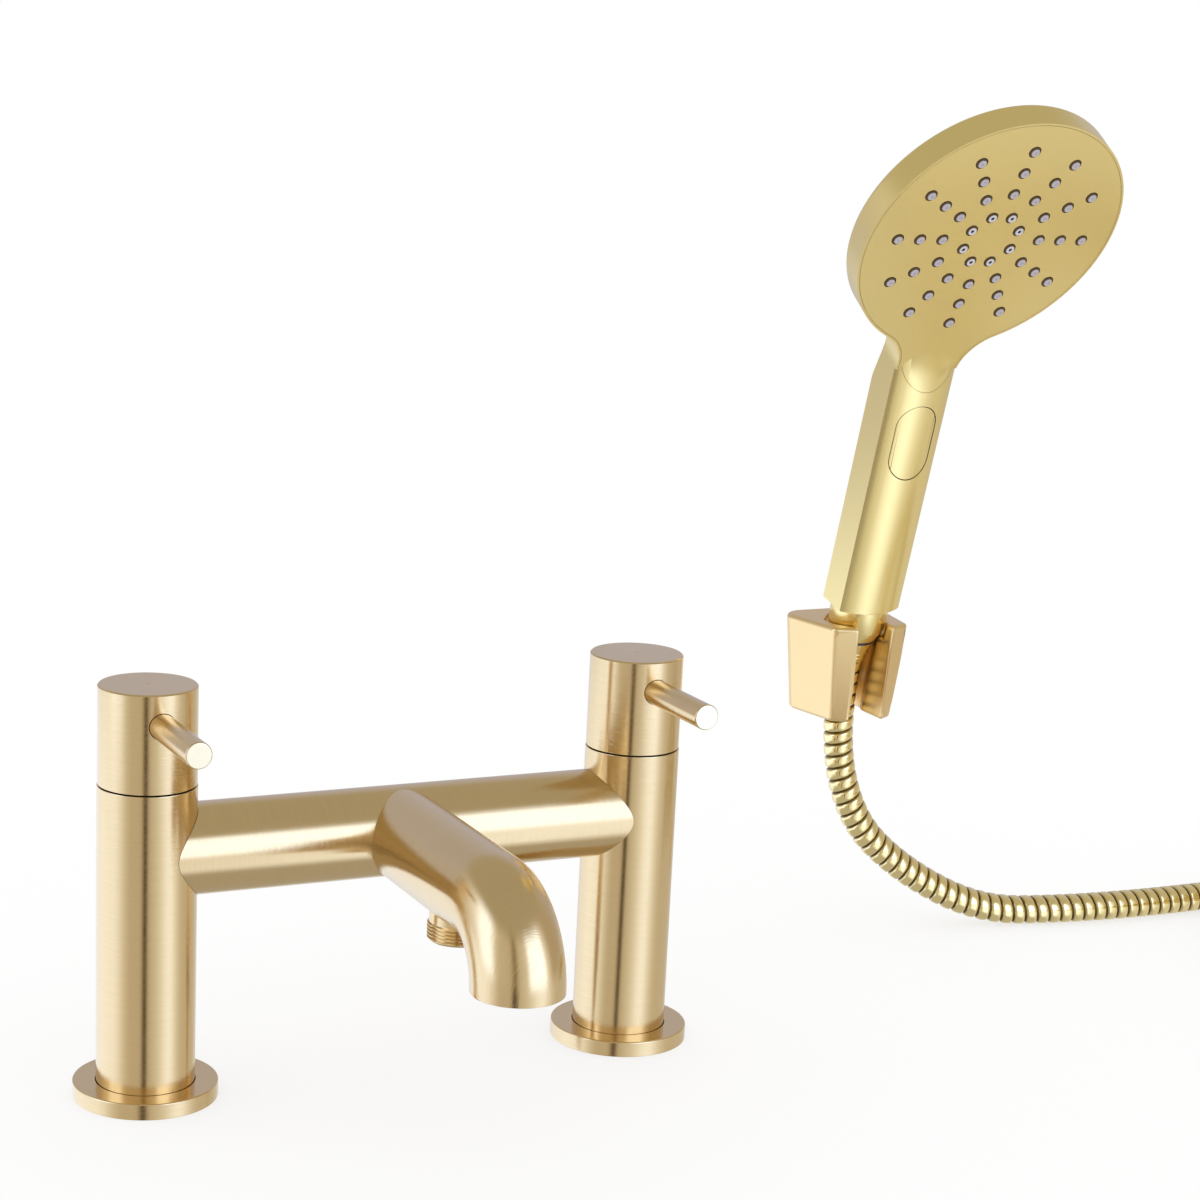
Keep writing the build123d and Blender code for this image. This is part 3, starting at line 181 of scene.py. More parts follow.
def softened(piece: Piece, width: float = 0.25, segments: int = 2, angle: float = 30.0) -> Piece:
    """Rounds the edges sharper than an angle and shades the rest smooth.

    Args:
        piece: the piece.
        width: the bevel's width in millimetres.
        segments: steps across the bevel.
        angle: the least angle of an edge that is rounded, in degrees.

    Returns:
        The same piece.
    """
    pick(piece)
    if width:
        bevel = piece.modifiers.new("edges", "BEVEL")
        bevel.width = width * MM
        bevel.segments = segments
        bevel.limit_method = "ANGLE"
        bevel.angle_limit = math.radians(angle)
        bpy.ops.object.modifier_apply(modifier=bevel.name)
    bpy.ops.object.shade_smooth_by_angle(angle=math.radians(angle))
    shading = piece.modifiers.new("shading", "WEIGHTED_NORMAL")
    shading.keep_sharp = True
    bpy.ops.object.modifier_apply(modifier=shading.name)
    return piece


def rounded(piece: Piece, width: float, longest: float, segments: int = 6) -> Piece:
    """Rounds only the long sharp edges of a piece.

    Args:
        piece: the piece.
        width: the bevel's width in millimetres.
        longest: an edge at least this many millimetres long is rounded.
        segments: steps across the bevel.

    Returns:
        The same piece.
    """
    edit(piece)
    bpy.ops.mesh.select_all(action="DESELECT")
    bpy.ops.mesh.select_mode(type="EDGE")
    bpy.ops.mesh.edges_select_sharp(sharpness=math.radians(SHARP_ANGLE))
    bpy.ops.object.mode_set(mode="OBJECT")
    points = piece.data.vertices
    for edge in piece.data.edges:
        start, end = (points[index].co for index in edge.vertices)
        edge.select = edge.select and (start - end).length >= longest * MM
    bpy.ops.object.mode_set(mode="EDIT")
    bpy.ops.transform.edge_bevelweight(value=1.0)
    bpy.ops.object.mode_set(mode="OBJECT")
    bevel = piece.modifiers.new("long edges", "BEVEL")
    bevel.width = width * MM
    bevel.segments = segments
    bevel.limit_method = "WEIGHT"
    bevel.use_clamp_overlap = False
    bpy.ops.object.modifier_apply(modifier=bevel.name)
    return piece


def linked(name: str, data: bpy.types.ID) -> Piece:
    """Returns a new object in the scene with that data."""
    piece = bpy.data.objects.new(name, data)
    bpy.context.scene.collection.objects.link(piece)
    return piece


def merged(piece: Piece) -> Piece:
    """Merges the piece's points and clears the flat faces of inner edges."""
    edit(piece)
    bpy.ops.mesh.remove_doubles(threshold=MERGE_GAP * MM)
    bpy.ops.mesh.dissolve_limited(angle_limit=math.radians(FLAT_ANGLE))
    return close(piece)


def copied(node: str, name: str) -> Piece:
    """Copies a CAD node's mesh under a new name and merges its triangles."""
    piece = linked(name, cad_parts[node].data.copy())
    piece.data.materials.clear()
    return merged(piece)


def lathed(name: str, rings: Rings, place: Matrix, width: float, sides: int = SIDES) -> Piece:
    """Turns a piece with a wall all round, puts it in its place and softens its edges."""
    return softened(placed(turned(name, rings, sides=sides, hollow=True), place), width=width)


def joined(name: str, pieces: Sequence[Piece]) -> Piece:
    """Joins the pieces into one under a new name."""
    pick(pieces[0])
    for piece in pieces:
        piece.select_set(True)
    bpy.ops.object.join()
    bpy.context.object.name = name
    return bpy.context.object


def twin(piece: Piece) -> Piece:
    """Copies a piece with its own mesh."""
    copy = piece.copy()
    copy.data = piece.data.copy()
    bpy.context.scene.collection.objects.link(copy)
    return copy


def ridges(radius: float, depth: float, start: float, end: float, count: int) -> list[Pair]:
    """Rings of a thread: a crest, its flank, a root and its flank, that many times from start to end."""
    pitch = (end - start) / count
    rings = []
    for turn in range(count):
        low = start + turn * pitch
        first, last = (low + share * pitch for share in (CREST_START, 1 - CREST_START))
        rings += [(radius - depth, low), *rod(radius, first, last)]
    return rings + [(radius - depth, end)]


def hexagonal(name: str, across: float, height: float, bore: float, chamfer: float) -> Piece:
    """Makes a hexagonal nut on Z from zero to its height, its corners turned down at both ends."""
    corner = across / math.sqrt(3)
    nut = turned(name, rod(corner, 0.0, height), sides=6)
    half = across / 2
    disc = [(half, 0.0), *rod(corner + chamfer, chamfer, height - chamfer), (half, height)]
    carved(nut, turned("chamfer", disc), operation="INTERSECT")
    return carved(nut, turned("bore", rod(bore, -OVERCUT, height + OVERCUT)))


# Shader graphs


class Signal:
    """A shader value that takes part in Python expressions."""

    def __init__(self, graph: "Graph", socket: bpy.types.NodeSocket) -> None:
        """Wraps a socket of the graph."""
        self.graph = graph
        self.socket = socket

    def _maths(self, operation: str, first: object, second: object = 0.0) -> "Signal":
        """Adds one Math node."""
        return self.graph.add("ShaderNodeMath", {"operation": operation}, {0: first, 1: second})

    def __add__(self, other: object) -> "Signal":
        """Adds."""
        return self._maths("ADD", self, other)

    def __sub__(self, other: object) -> "Signal":
        """Takes the other away."""
        return self._maths("SUBTRACT", self, other)

    def __mul__(self, other: object) -> "Signal":
        """Multiplies."""
        return self._maths("MULTIPLY", self, other)

    def __truediv__(self, other: object) -> "Signal":
        """Divides by the other."""
        return self._maths("DIVIDE", self, other)

    def fraction(self) -> "Signal":
        """Returns the part after the decimal point."""
        return self._maths("FRACT", self)

    def below(self, other: object) -> "Signal":
        """Returns one where this is less than the other, else nought."""
        return self._maths("LESS_THAN", self, other)

    def arcsine(self) -> "Signal":
        """Returns the angle with this sine."""
        return self._maths("ARCSINE", self)

    def angle_from(self, other: "Signal") -> "Signal":
        """Returns the angle of the point with this as Y and the other as X."""
        return self._maths("ARCTAN2", self, other)


class Graph:
    """A node tree in the making."""

    def __init__(self, tree: bpy.types.NodeTree) -> None:
        """Empties the tree."""
        self.tree = tree
        tree.nodes.clear()

    def add(
        self, kind: str, settings: dict | None = None, values: dict | None = None, output: int | str = 0
    ) -> Signal:
        """Adds one node, sets it and feeds its sockets.

        Args:
            kind: the node's type.
            settings: the node's own settings, and a ramp's stops.
            values: what goes into its sockets: signals, numbers or colours.
            output: the socket that is handed on.

        Returns:
            The signal of the chosen output.
        """
        node = self.tree.nodes.new(kind)
        for name, value in (settings or {}).items():
            if name == "stops":
                self._set_stops(node.color_ramp.elements, value)
            else:
                setattr(node, name, value)
        for key, value in (values or {}).items():
            if isinstance(value, Signal):
                self.tree.links.new(value.socket, node.inputs[key])
            else:
                node.inputs[key].default_value = value
        return Signal(self, node.outputs[output]) if node.outputs else Signal(self, None)

    @staticmethod
    def _set_stops(elements: bpy.types.ColorRampElements, stops: Sequence[tuple[float, Colour]]) -> None:
        """Gives a ramp its stops, the first and the last on its own two."""
        for element, (place, colour) in zip(elements, (stops[0], stops[-1])):
            element.position = place
            element.color = (*colour, 1.0)
        for place, colour in stops[1:-1]:
            elements.new(place).color = (*colour, 1.0)

    def mixed(self, share: Signal | float, first: object, second: object) -> Signal:
        """Mixes two colours by a share."""
        settings = {"data_type": "RGBA", "clamp_factor": True}
        values = {0: share, 6: self._rgba(first), 7: self._rgba(second)}
        return self.add("ShaderNodeMix", settings, values, output=2)

    @staticmethod
    def _rgba(colour: object) -> object:
        """Gives a plain colour its fourth number."""
        return (*colour, 1.0) if isinstance(colour, tuple) and len(colour) == 3 else colour

    def noise(self, scale: Vector, detail: float, roughness: float = 0.6) -> Signal:
        """Noise on Object coordinates that is stretched by a scale for each axis, from nought to one."""
        coordinates = self.add("ShaderNodeTexCoord", output="Object")
        values = {0: coordinates, 1: tuple(scale)}
        stretched = self.add("ShaderNodeVectorMath", {"operation": "MULTIPLY"}, values)
        values = {"Vector": stretched, "Scale": 1.0, "Detail": detail, "Roughness": roughness}
        return self.add("ShaderNodeTexNoise", {"noise_dimensions": "3D"}, values)


class Grain(Enum):
    """Which way the brush went: how fast the strokes change along X, Y and Z."""

    ROUND_X = (1.0, 0.04, 0.04)
    ROUND_Y = (0.04, 1.0, 0.04)
    ROUND_Z = (0.04, 0.04, 1.0)
    SATIN = (1.0, 1.0, 1.0)


@dataclass(frozen=True)
class BrushedMetal:
    """Coated metal with fine strokes in its gloss.

    Attributes:
        name: the material's name.
        colour: the metal's colour.
        grain: which way the strokes run.
        roughness: the middle roughness.
        strokes: strokes in a metre across the grain.
        relief: depth of the finest strokes in millimetres, which spread the gloss across them.
        shade: how much darker the strokes are.
        swing: how far the roughness moves with the strokes.
        highlight_before_y: Y in millimetres before which a painted highlight turns the colour pale, for the
            reflection on the lever's end face.
        darkest: shades by which the deepest stroke is darker.
        stroke_floor: level of the noise from which a stroke darkens.
        stroke_gain: how fast it darkens above that.
        blotches: broad changes of the gloss in a metre.
        finest: how many times finer than the strokes the relief is.
    """

    name: str
    colour: Colour
    grain: Grain = Grain.SATIN
    roughness: float = 0.165
    strokes: float = 1500.0
    relief: float = 0.02
    shade: float = 0.045
    swing: float = 0.12
    highlight_before_y: float | None = None
    darkest: float = 2.5
    stroke_floor: float = 0.3
    stroke_gain: float = 0.9
    blotches: float = 38.0
    finest: float = 4.0

    def build(self) -> bpy.types.Material:
        """Builds the material."""
        material, graph = new_material(self.name)
        strokes = Vector(self.grain.value) * self.strokes
        fine = graph.noise(strokes, detail=4.0)
        broad = graph.noise(Vector((self.blotches,) * 3), detail=2.0)
        darker = tuple(part * (1 - self.darkest * self.shade) for part in self.colour)
        colour = graph.mixed((fine - self.stroke_floor) * self.stroke_gain, self.colour, darker)
        # Painted highlight: in front of that Y the colour is mixed to a pale one, standing in for the
        # reflection on the end face.
        if self.highlight_before_y is not None:
            coordinates = graph.add("ShaderNodeTexCoord", output="Object")
            along = graph.add("ShaderNodeSeparateXYZ", None, {0: coordinates}, output="Y")
            colour = graph.mixed(along.below(self.highlight_before_y * MM), colour, TIP_HIGHLIGHT)
        roughness = (fine - 0.5) * self.swing + (broad - 0.5) * self.swing / 2 + self.roughness
        surface = {"Base Color": colour, "Metallic": 1.0, "Roughness": roughness}
        if self.relief:
            finest = graph.noise(strokes * self.finest, detail=1.0)
            values = {"Strength": 1.0, "Distance": self.relief * MM, "Height": finest}
            surface["Normal"] = graph.add("ShaderNodeBump", None, values)
        finish_surface(graph, surface)
        return material


@dataclass(frozen=True)
class HoseStrip:
    """Bright wound strip with painted shade in its grooves, by the hose's own attribute.

    Attributes:
        name: the material's name.
        colour: colour of the strip.
        groove: colour of the painted shade at the bottom of a groove.
        roughness: middle roughness of the strip.
        groove_roughness: what the bottom of a groove adds to it.
        swing: how far the roughness varies.
        grains: grains in a metre.
    """

    name: str = "wound_hose_strip"
    colour: Colour = (1.0, 0.83, 0.42)
    # Painted shade at the bottom of the grooves.
    groove: Colour = (0.12, 0.07, 0.015)
    roughness: float = 0.13
    groove_roughness: float = 0.25
    swing: float = 0.1
    grains: float = 700.0

    def build(self) -> bpy.types.Material:
        """Builds the material."""
        material, graph = new_material(self.name)
        depth = graph.add("ShaderNodeAttribute", {"attribute_name": "groove"}, output="Fac")
        fine = graph.noise(Vector((self.grains,) * 3), detail=3.0)
        # Painted shade: the colour darkens towards the groove colour with the depth of the groove.
        colour = graph.mixed(depth, self.colour, self.groove)
        roughness = (fine - 0.5) * self.swing + depth * self.groove_roughness + self.roughness
        finish_surface(graph, {"Base Color": colour, "Metallic": 1.0, "Roughness": roughness})
        return material


@dataclass(frozen=True)
class Moulded:
    """Moulded rubber, plastic, fibre or ceramic with a fine skin.

    Attributes:
        name: the material's name.
        colour: its colour.
        roughness: its middle roughness.
        speckle: share by which the colour varies.
        grains: grains in a metre.
        swing: how far the roughness varies.
        bump: strength and height in millimetres of the grains.
    """

    name: str
    colour: Colour
    roughness: float = 0.5
    speckle: float = 0.12
    grains: float = 900.0
    swing: float = 0.2
    bump: Pair = (0.6, 0.02)

    def build(self) -> bpy.types.Material:
        """Builds the material."""
        material, graph = new_material(self.name)
        fine = graph.noise(Vector((self.grains,) * 3), detail=5.0)
        darker = tuple(part * (1 - 2 * self.speckle) for part in self.colour)
        colour = graph.mixed(fine, self.colour, darker)
        roughness = (fine - 0.5) * self.swing + self.roughness
        strength, height = self.bump
        values = {"Strength": strength, "Distance": height * MM, "Height": fine}
        normal = graph.add("ShaderNodeBump", None, values)
        finish_surface(graph, {"Base Color": colour, "Roughness": roughness, "Normal": normal})
        return material


def new_material(name: str) -> tuple[bpy.types.Material, Graph]:
    """Returns a new material and its empty graph."""
    material = bpy.data.materials.new(name)
    material.use_nodes = True
    return material, Graph(material.node_tree)


def finish_surface(graph: Graph, values: dict) -> None:
    """Ends a material's graph in one shader."""
    shader = graph.add("ShaderNodeBsdfPrincipled", None, values)
    graph.add("ShaderNodeOutputMaterial", None, {"Surface": shader})


BRASS: Colour = (0.80, 0.605, 0.33)
# Painted highlight: the pale colour on the levers' end faces stands in for the soft box that they reflect.
TIP_HIGHLIGHT: Colour = (1.0, 0.90, 0.66)
GOLD_X = BrushedMetal("brushed_brass_bridge", BRASS, Grain.ROUND_X)
GOLD_Y = BrushedMetal("brushed_brass_spout", BRASS, Grain.ROUND_Y)
GOLD_Z = BrushedMetal("brushed_brass_upright", BRASS, Grain.ROUND_Z)
GOLD_TIP = BrushedMetal("brushed_brass_lever", BRASS, Grain.ROUND_Y, highlight_before_y=-53.3)
RAW_BRASS = BrushedMetal("raw_brass", (0.72, 0.52, 0.22), Grain.SATIN, roughness=0.32, relief=0.01)
BRACKET_GOLD = BrushedMetal("bracket_gold", (0.93, 0.69, 0.34), Grain.SATIN, 0.34, relief=0.0, shade=0.01)
PALE_GOLD: Colour = (1.0, 0.81, 0.36)
HANDSET_GOLD = BrushedMetal("handset_gold", PALE_GOLD, roughness=0.24, relief=0.0, shade=0.008, swing=0.03)
STRIP = HoseStrip()
NOZZLE_RUBBER = Moulded("nozzle_rubber", (0.50, 0.46, 0.50), 0.4, speckle=0.04)
# Painted shade and painted reflection: the dark brown of the nozzles' side walls stands in for their shade
# and the dark gold that they reflect.
SKIRT_SHADE = Moulded("nozzle_skirt", (0.10, 0.06, 0.025), 0.5, speckle=0.05)
# Painted shade: a black plug stands in for the shade inside the jet holes.
BORE_SHADE = Moulded("nozzle_bore", (0.012, 0.012, 0.014), 0.5, speckle=0.05)
NOZZLE_RING = Moulded("nozzle_ring", (0.66, 0.63, 0.67), 0.3, speckle=0.03)
RUBBER = Moulded("black_rubber", (0.03, 0.03, 0.03), 0.6)
BLACK_PLASTIC = Moulded("black_plastic", (0.02, 0.02, 0.022), 0.35)
WHITE_PLASTIC = Moulded("white_plastic", (0.75, 0.75, 0.74), 0.4, speckle=0.03)
FIBRE = Moulded("red_fibre", (0.36, 0.12, 0.07), 0.8, speckle=0.3, grains=600.0)
CERAMIC = Moulded("ceramic", (0.78, 0.78, 0.76), 0.25, speckle=0.04)
Finish = BrushedMetal | HoseStrip | Moulded
made_finishes: dict[str, bpy.types.Material] = {}


def dressed(piece: Piece, finish: Finish) -> Piece:
    """Gives the piece its finish, built once."""
    if finish.name not in made_finishes:
        made_finishes[finish.name] = finish.build()
    material = made_finishes[finish.name]
    if not piece.data.materials:
        piece.data.materials.append(material)
    for slot in piece.material_slots:
        slot.material = material
    return piece


def fitted(piece: Piece, body: str, finish: Finish, slot: str, *nodes: str) -> Piece:
    """Dresses a finished piece, gives it its body and hides the nodes that it stands for."""
    dressed(piece, finish)
    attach(piece, body)
    if nodes:
        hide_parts(*nodes)
    log.info("%s: %d faces on %s", piece.name, len(piece.data.polygons), body)
    return piece


# Studio


@dataclass(frozen=True)
class StudioCamera:
    """The camera of the product photograph.

    Attributes:
        eye: where the camera stands.
        azimuth: heading in degrees, turned from straight behind the spout.
        elevation: degrees above the horizon.
        roll: degrees of roll.
        lens: focal length in millimetres.
        shift: horizontal and vertical shift of the frame.
        sensor: width of the sensor in millimetres.
        near: nearest distance that is drawn, in metres.
    """

    eye: Vector = Vector((-0.3562, -0.8496, 0.3593))
    azimuth: float = -25.2
    elevation: float = 14.5
    roll: float = 2.37
    lens: float = 83.1
    shift: Pair = (0.0708, 0.1125)
    sensor: float = 36.0
    near: float = 0.01

    def build(self) -> Piece:
        """Creates the camera and makes it the scene's own.

        Returns:
            The camera object.
        """
        data = bpy.data.cameras.new("studio_camera")
        data.lens = self.lens
        data.sensor_width = self.sensor
        data.shift_x, data.shift_y = self.shift
        data.clip_start = self.near
        data.dof.use_dof = False
        camera = linked("studio_camera", data)
        camera.matrix_world = self.placement()
        bpy.context.scene.camera = camera
        return camera

    def placement(self) -> Matrix:
        """Returns the camera's matrix from its eye, heading, elevation and roll."""
        azimuth = math.radians(self.azimuth)
        elevation = math.radians(self.elevation)
        roll = math.radians(self.roll)
        level = math.cos(elevation)
        back = Vector((math.sin(azimuth) * level, -math.cos(azimuth) * level, math.sin(elevation)))
        right = Vector((math.cos(azimuth), math.sin(azimuth), 0.0))
        up = back.cross(right)
        rolled_right = right * math.cos(roll) + up * math.sin(roll)
        rolled_up = up * math.cos(roll) - right * math.sin(roll)
        axes = Matrix((rolled_right, rolled_up, back)).transposed().to_4x4()
        return Matrix.Translation(self.eye) @ axes


EVEN_LIGHT = 0.75
GREEN_FALL = 0.25
BLUE_FALL = 0.75


def grey(level: float) -> Colour:
    """Returns a grey of that level."""
    return (level, level, level)


def lit(level: float) -> Colour:
    """Returns the room's light at a level: warm where it is faint, cool where it is bright."""
    share = level / EVEN_LIGHT
    return (level, level * share**GREEN_FALL, level * share**BLUE_FALL)


@dataclass(frozen=True)
class Studio:
    """White room: what is lit by it sees plain white, and metal sees two tall soft boxes and the dark gaps.

    Attributes:
        front: heading of the camera from the object, in degrees from +X towards +Y.
        low_band: level of the room below the horizon, by the angle from the camera's heading.
        high_band: level of the room just above it.
        under: colour straight below.
        over: colour high above.
        behind: colour behind the part, just above the horizon.
        at_back: how much of that is seen, by share of a full turn.
        edges: where the low band, the high band and the top fade in, by share of the height.
        floor_size: side of the floor in metres.
        floor_glow: share of the floor that glows white, so that the shadows stay faint.
        dome_radius: radius of the dome in millimetres.
        dome_height: height of its centre in millimetres.
        dome_rings: rings of the dome.
    """

    front: float = -115.2
    low_band: Levels = (
        (-180.0, 0.80), (-145.0, 1.05), (-105.0, 1.20), (-69.0, 1.15), (-59.0, 1.02), (-50.0, 0.84),
        (-41.0, 0.70), (-33.0, 0.62), (-12.0, 0.62), (-8.0, 0.52), (-4.5, 0.05), (1.0, 0.05), (5.0, 0.60),
        (20.0, 0.74), (29.0, 0.84), (37.0, 0.96), (45.0, 1.12), (58.0, 1.22), (64.0, 1.14), (71.0, 0.98),
        (82.0, 0.78), (95.0, 0.66), (140.0, 0.64), (180.0, 0.80),
    )
    high_band: Levels = (
        (-180.0, 0.55), (-125.0, 0.60), (-105.0, 0.72), (-86.0, 1.00), (-76.0, 1.50), (-54.0, 1.50),
        (-45.0, 0.82), (-38.0, 0.68), (-9.0, 0.62), (-4.0, 0.30), (1.0, 0.30), (6.0, 0.64), (24.0, 0.80),
        (33.0, 1.55), (64.0, 1.60), (73.0, 0.90), (88.0, 0.52), (120.0, 0.52), (180.0, 0.55),
    )
    under: Colour = (0.48, 0.465, 0.43)
    over: Colour = (0.47, 0.445, 0.37)
    behind: Colour = (0.53, 0.53, 0.62)
    at_back: Levels = ((0.0, 1.0), (0.12, 1.0), (0.22, 0.0), (0.82, 0.0), (0.9, 1.0), (1.0, 1.0))
    edges: Levels = ((0.22, 0.30), (0.445, 0.50), (0.67, 0.74))
    floor_size: float = 8.0
    floor_glow: float = 0.7
    dome_radius: float = 860.0
    dome_height: float = 80.0
    dome_rings: int = 24

    def build(self) -> None:
        """Builds the floor, the dome and the room."""
        self.build_floor()
        self.build_dome()
        self.build_room()
        bpy.context.scene.view_settings.view_transform = "Standard"

    def build_floor(self) -> None:
        """Pale floor at deck height that keeps a faint shadow and isn't seen in the metal."""
        bpy.ops.object.select_all(action="DESELECT")
        bpy.ops.mesh.primitive_plane_add(size=self.floor_size)
        floor = bpy.context.object
        floor.name = "floor"
        floor.visible_glossy = False
        material, graph = new_material("floor_white")
        glow = graph.add("ShaderNodeEmission", None, {"Strength": 1.0})
        matt = graph.add("ShaderNodeBsdfDiffuse", None, {"Color": WHITE})
        mixed = graph.add("ShaderNodeMixShader", None, {0: 1 - self.floor_glow, 1: glow, 2: matt})
        graph.add("ShaderNodeOutputMaterial", None, {"Surface": mixed})
        floor.data.materials.append(material)

    def build_dome(self) -> None:
        """Dome that only metal mirrors, so near that its soft boxes shift from pillar to pillar."""
        rings = []
        for step in range(self.dome_rings):
            angle = math.pi * ((step + 0.5) / self.dome_rings - 0.5)
            rings.append((self.dome_radius * math.cos(angle), self.dome_radius * math.sin(angle)))
        dome = placed(turned("dome", rings, sides=SIDES), at(0.0, 0.0, self.dome_height))
        for rays in ("camera", "diffuse", "shadow", "transmission", "volume_scatter"):
            setattr(dome, f"visible_{rays}", False)
        material, graph = new_material("dome_glow")
        material.cycles.emission_sampling = "NONE"
        coordinates = graph.add("ShaderNodeTexCoord", output="Object")
        centre = (0.0, 0.0, self.dome_height * MM)
        outward = graph.add("ShaderNodeVectorMath", {"operation": "SUBTRACT"}, {0: coordinates, 1: centre})
        direction = graph.add("ShaderNodeVectorMath", {"operation": "NORMALIZE"}, {0: outward})
        glow = graph.add("ShaderNodeEmission", None, {"Color": self.pattern(graph, direction)})
        graph.add("ShaderNodeOutputMaterial", None, {"Surface": glow})
        dome.data.materials.append(material)

    def build_room(self) -> None:
        """Plain white world."""
        world = bpy.data.worlds.new("studio")
        bpy.context.scene.world = world
        world.use_nodes = True
        world.cycles.sampling_method = "NONE"
        graph = Graph(world.node_tree)
        plain = graph.add("ShaderNodeBackground", None, {"Color": WHITE})
        graph.add("ShaderNodeOutputWorld", None, {"Surface": plain})

    def pattern(self, graph: Graph, direction: Signal) -> Signal:
        """Returns the room's colour in a direction."""
        split = {"kind": "ShaderNodeSeparateXYZ", "values": {0: direction}}
        east, north, up = (graph.add(**split, output=axis) for axis in ("X", "Y", "Z"))
        turn = (north.angle_from(east) / math.tau - self.front / 360 + 0.5).fraction()
        height = up.arcsine() / math.pi + 0.5
        low, high = (self.band(graph, turn, levels) for levels in (self.low_band, self.high_band))
        level = graph.mixed(self.share(graph, turn, self.at_back), high, self.behind)
        in_low, in_high, in_over = (
            self.share(graph, height, ((0.0, 0.0), (start, 0.0), (end, 1.0), (1.0, 1.0)))
            for start, end in self.edges
        )
        below = graph.mixed(in_low, self.under, low)
        return graph.mixed(in_over, graph.mixed(in_high, below, level), self.over)

    @staticmethod
    def band(graph: Graph, turn: Signal, levels: Rings) -> Signal:
        """Returns the room's colour round one band of it."""
        stops = tuple(((angle + 180) / 360, lit(level)) for angle, level in levels)
        return graph.add("ShaderNodeValToRGB", {"stops": stops}, {0: turn})

    @staticmethod
    def share(graph: Graph, factor: Signal, levels: Rings) -> Signal:
        """Returns a share from nought to one that follows levels along a factor."""
        stops = tuple((place, grey(level)) for place, level in levels)
        return graph.add("ShaderNodeValToRGB", {"stops": stops}, {0: factor})


# Deck fixing


@dataclass
class DeckFixing:
    """What holds one pillar to the deck: flange, threaded tail, washer and back nut."""

    side: str
    x: float
    flange_radius: float = 24.7
    flange_height: float = 5.6
    flange_chamfer: float = 0.35
    seat_radius: float = 16.97
    seat_height: float = 2.6
    hole_radius: float = 13.25
    groove: Pair = (15.35, 22.15)
    groove_depth: float = 1.2
    thread_radius: float = 13.2
    thread_depth: float = 0.6
    connector: Pair = (-54.0, -27.0)
    relief: Pair = (-26.8, -25.6)
    thread_lead: float = 0.2
    thread_top: float = -1.0
    thread_turns: tuple[int, int] = (15, 13)
    tail_bore: float = 8.5
    spigot: Pair = (11.0, 17.6)
    washer: Triple = (13.3, 20.0, 2.5)
    washer_top: float = -14.0
    nut_across: float = 36.0
    nut_height: float = 9.0
    nut_chamfer: float = 1.2

    def build(self) -> None:
        """Builds the fixing's four pieces."""
        self.build_flange()
        self.build_tail()
        self.build_washer()
        self.build_nut()

    def build_flange(self) -> None:
        """Turned cover flange with its seat and the groove of its gasket."""
        inner, outer = self.groove
        top = self.flange_height
        chamfer = self.flange_chamfer
        rings = [
            *rod(self.flange_radius, 0.0, top - chamfer), (self.flange_radius - chamfer, top),
            *rod(self.seat_radius, top, self.seat_height), *rod(self.hole_radius, self.seat_height, 0.0),
            *rod(inner, 0.0, self.groove_depth), *rod(outer, self.groove_depth, 0.0),
        ]
        flange = lathed(f"cover_flange_{self.side}", rings, at(self.x), 0.18, FINE_SIDES)
        fitted(flange, "mixer", GOLD_Z, "brushed_brass", f"flange_{self.side}")

    def build_tail(self) -> None:
        """Threaded tail: two lengths of thread with a relief between them, a plain end and a bore."""
        low, high = self.connector
        relief_low, relief_high = self.relief
        root = self.thread_radius - self.thread_depth
        spigot_radius, spigot_top = self.spigot
        lower, upper = self.thread_turns
        rings = ridges(self.thread_radius, self.thread_depth, low, high, lower)
        rings += rod(root, relief_low, relief_high)
        start = relief_high + self.thread_lead
        rings += ridges(self.thread_radius, self.thread_depth, start, self.thread_top, upper)
        rings += [(root, self.seat_height), *rod(spigot_radius, self.seat_height, spigot_top)]
        rings += rod(self.tail_bore, spigot_top, low)
        tail = lathed(f"threaded_tail_{self.side}", rings, at(self.x), 0.0)
        fitted(tail, "mixer", RAW_BRASS, "raw_brass", f"tail_{self.side}")

    def build_washer(self) -> None:
        """Fibre washer under the deck."""
        inner, outer, thickness = self.washer
        rings = square(inner, outer, self.washer_top - thickness, self.washer_top)
        washer = lathed(f"fibre_washer_{self.side}", rings, at(self.x), 0.3)
        fitted(washer, "mixer", FIBRE, "fibre", f"deck_washer_{self.side}")

    def build_nut(self) -> None:
        """Back nut under the washer."""
        low = self.washer_top - self.washer[2] - self.nut_height
        name = f"hexagon_nut_{self.side}"
        nut = hexagonal(name, self.nut_across, self.nut_height, self.hole_radius, self.nut_chamfer)
        softened(placed(nut, at(self.x, 0.0, low)), width=0.25)
        fitted(nut, "mixer", RAW_BRASS, "raw_brass", f"back_nut_{self.side}")


# Pillars, bridge, spout and outlet


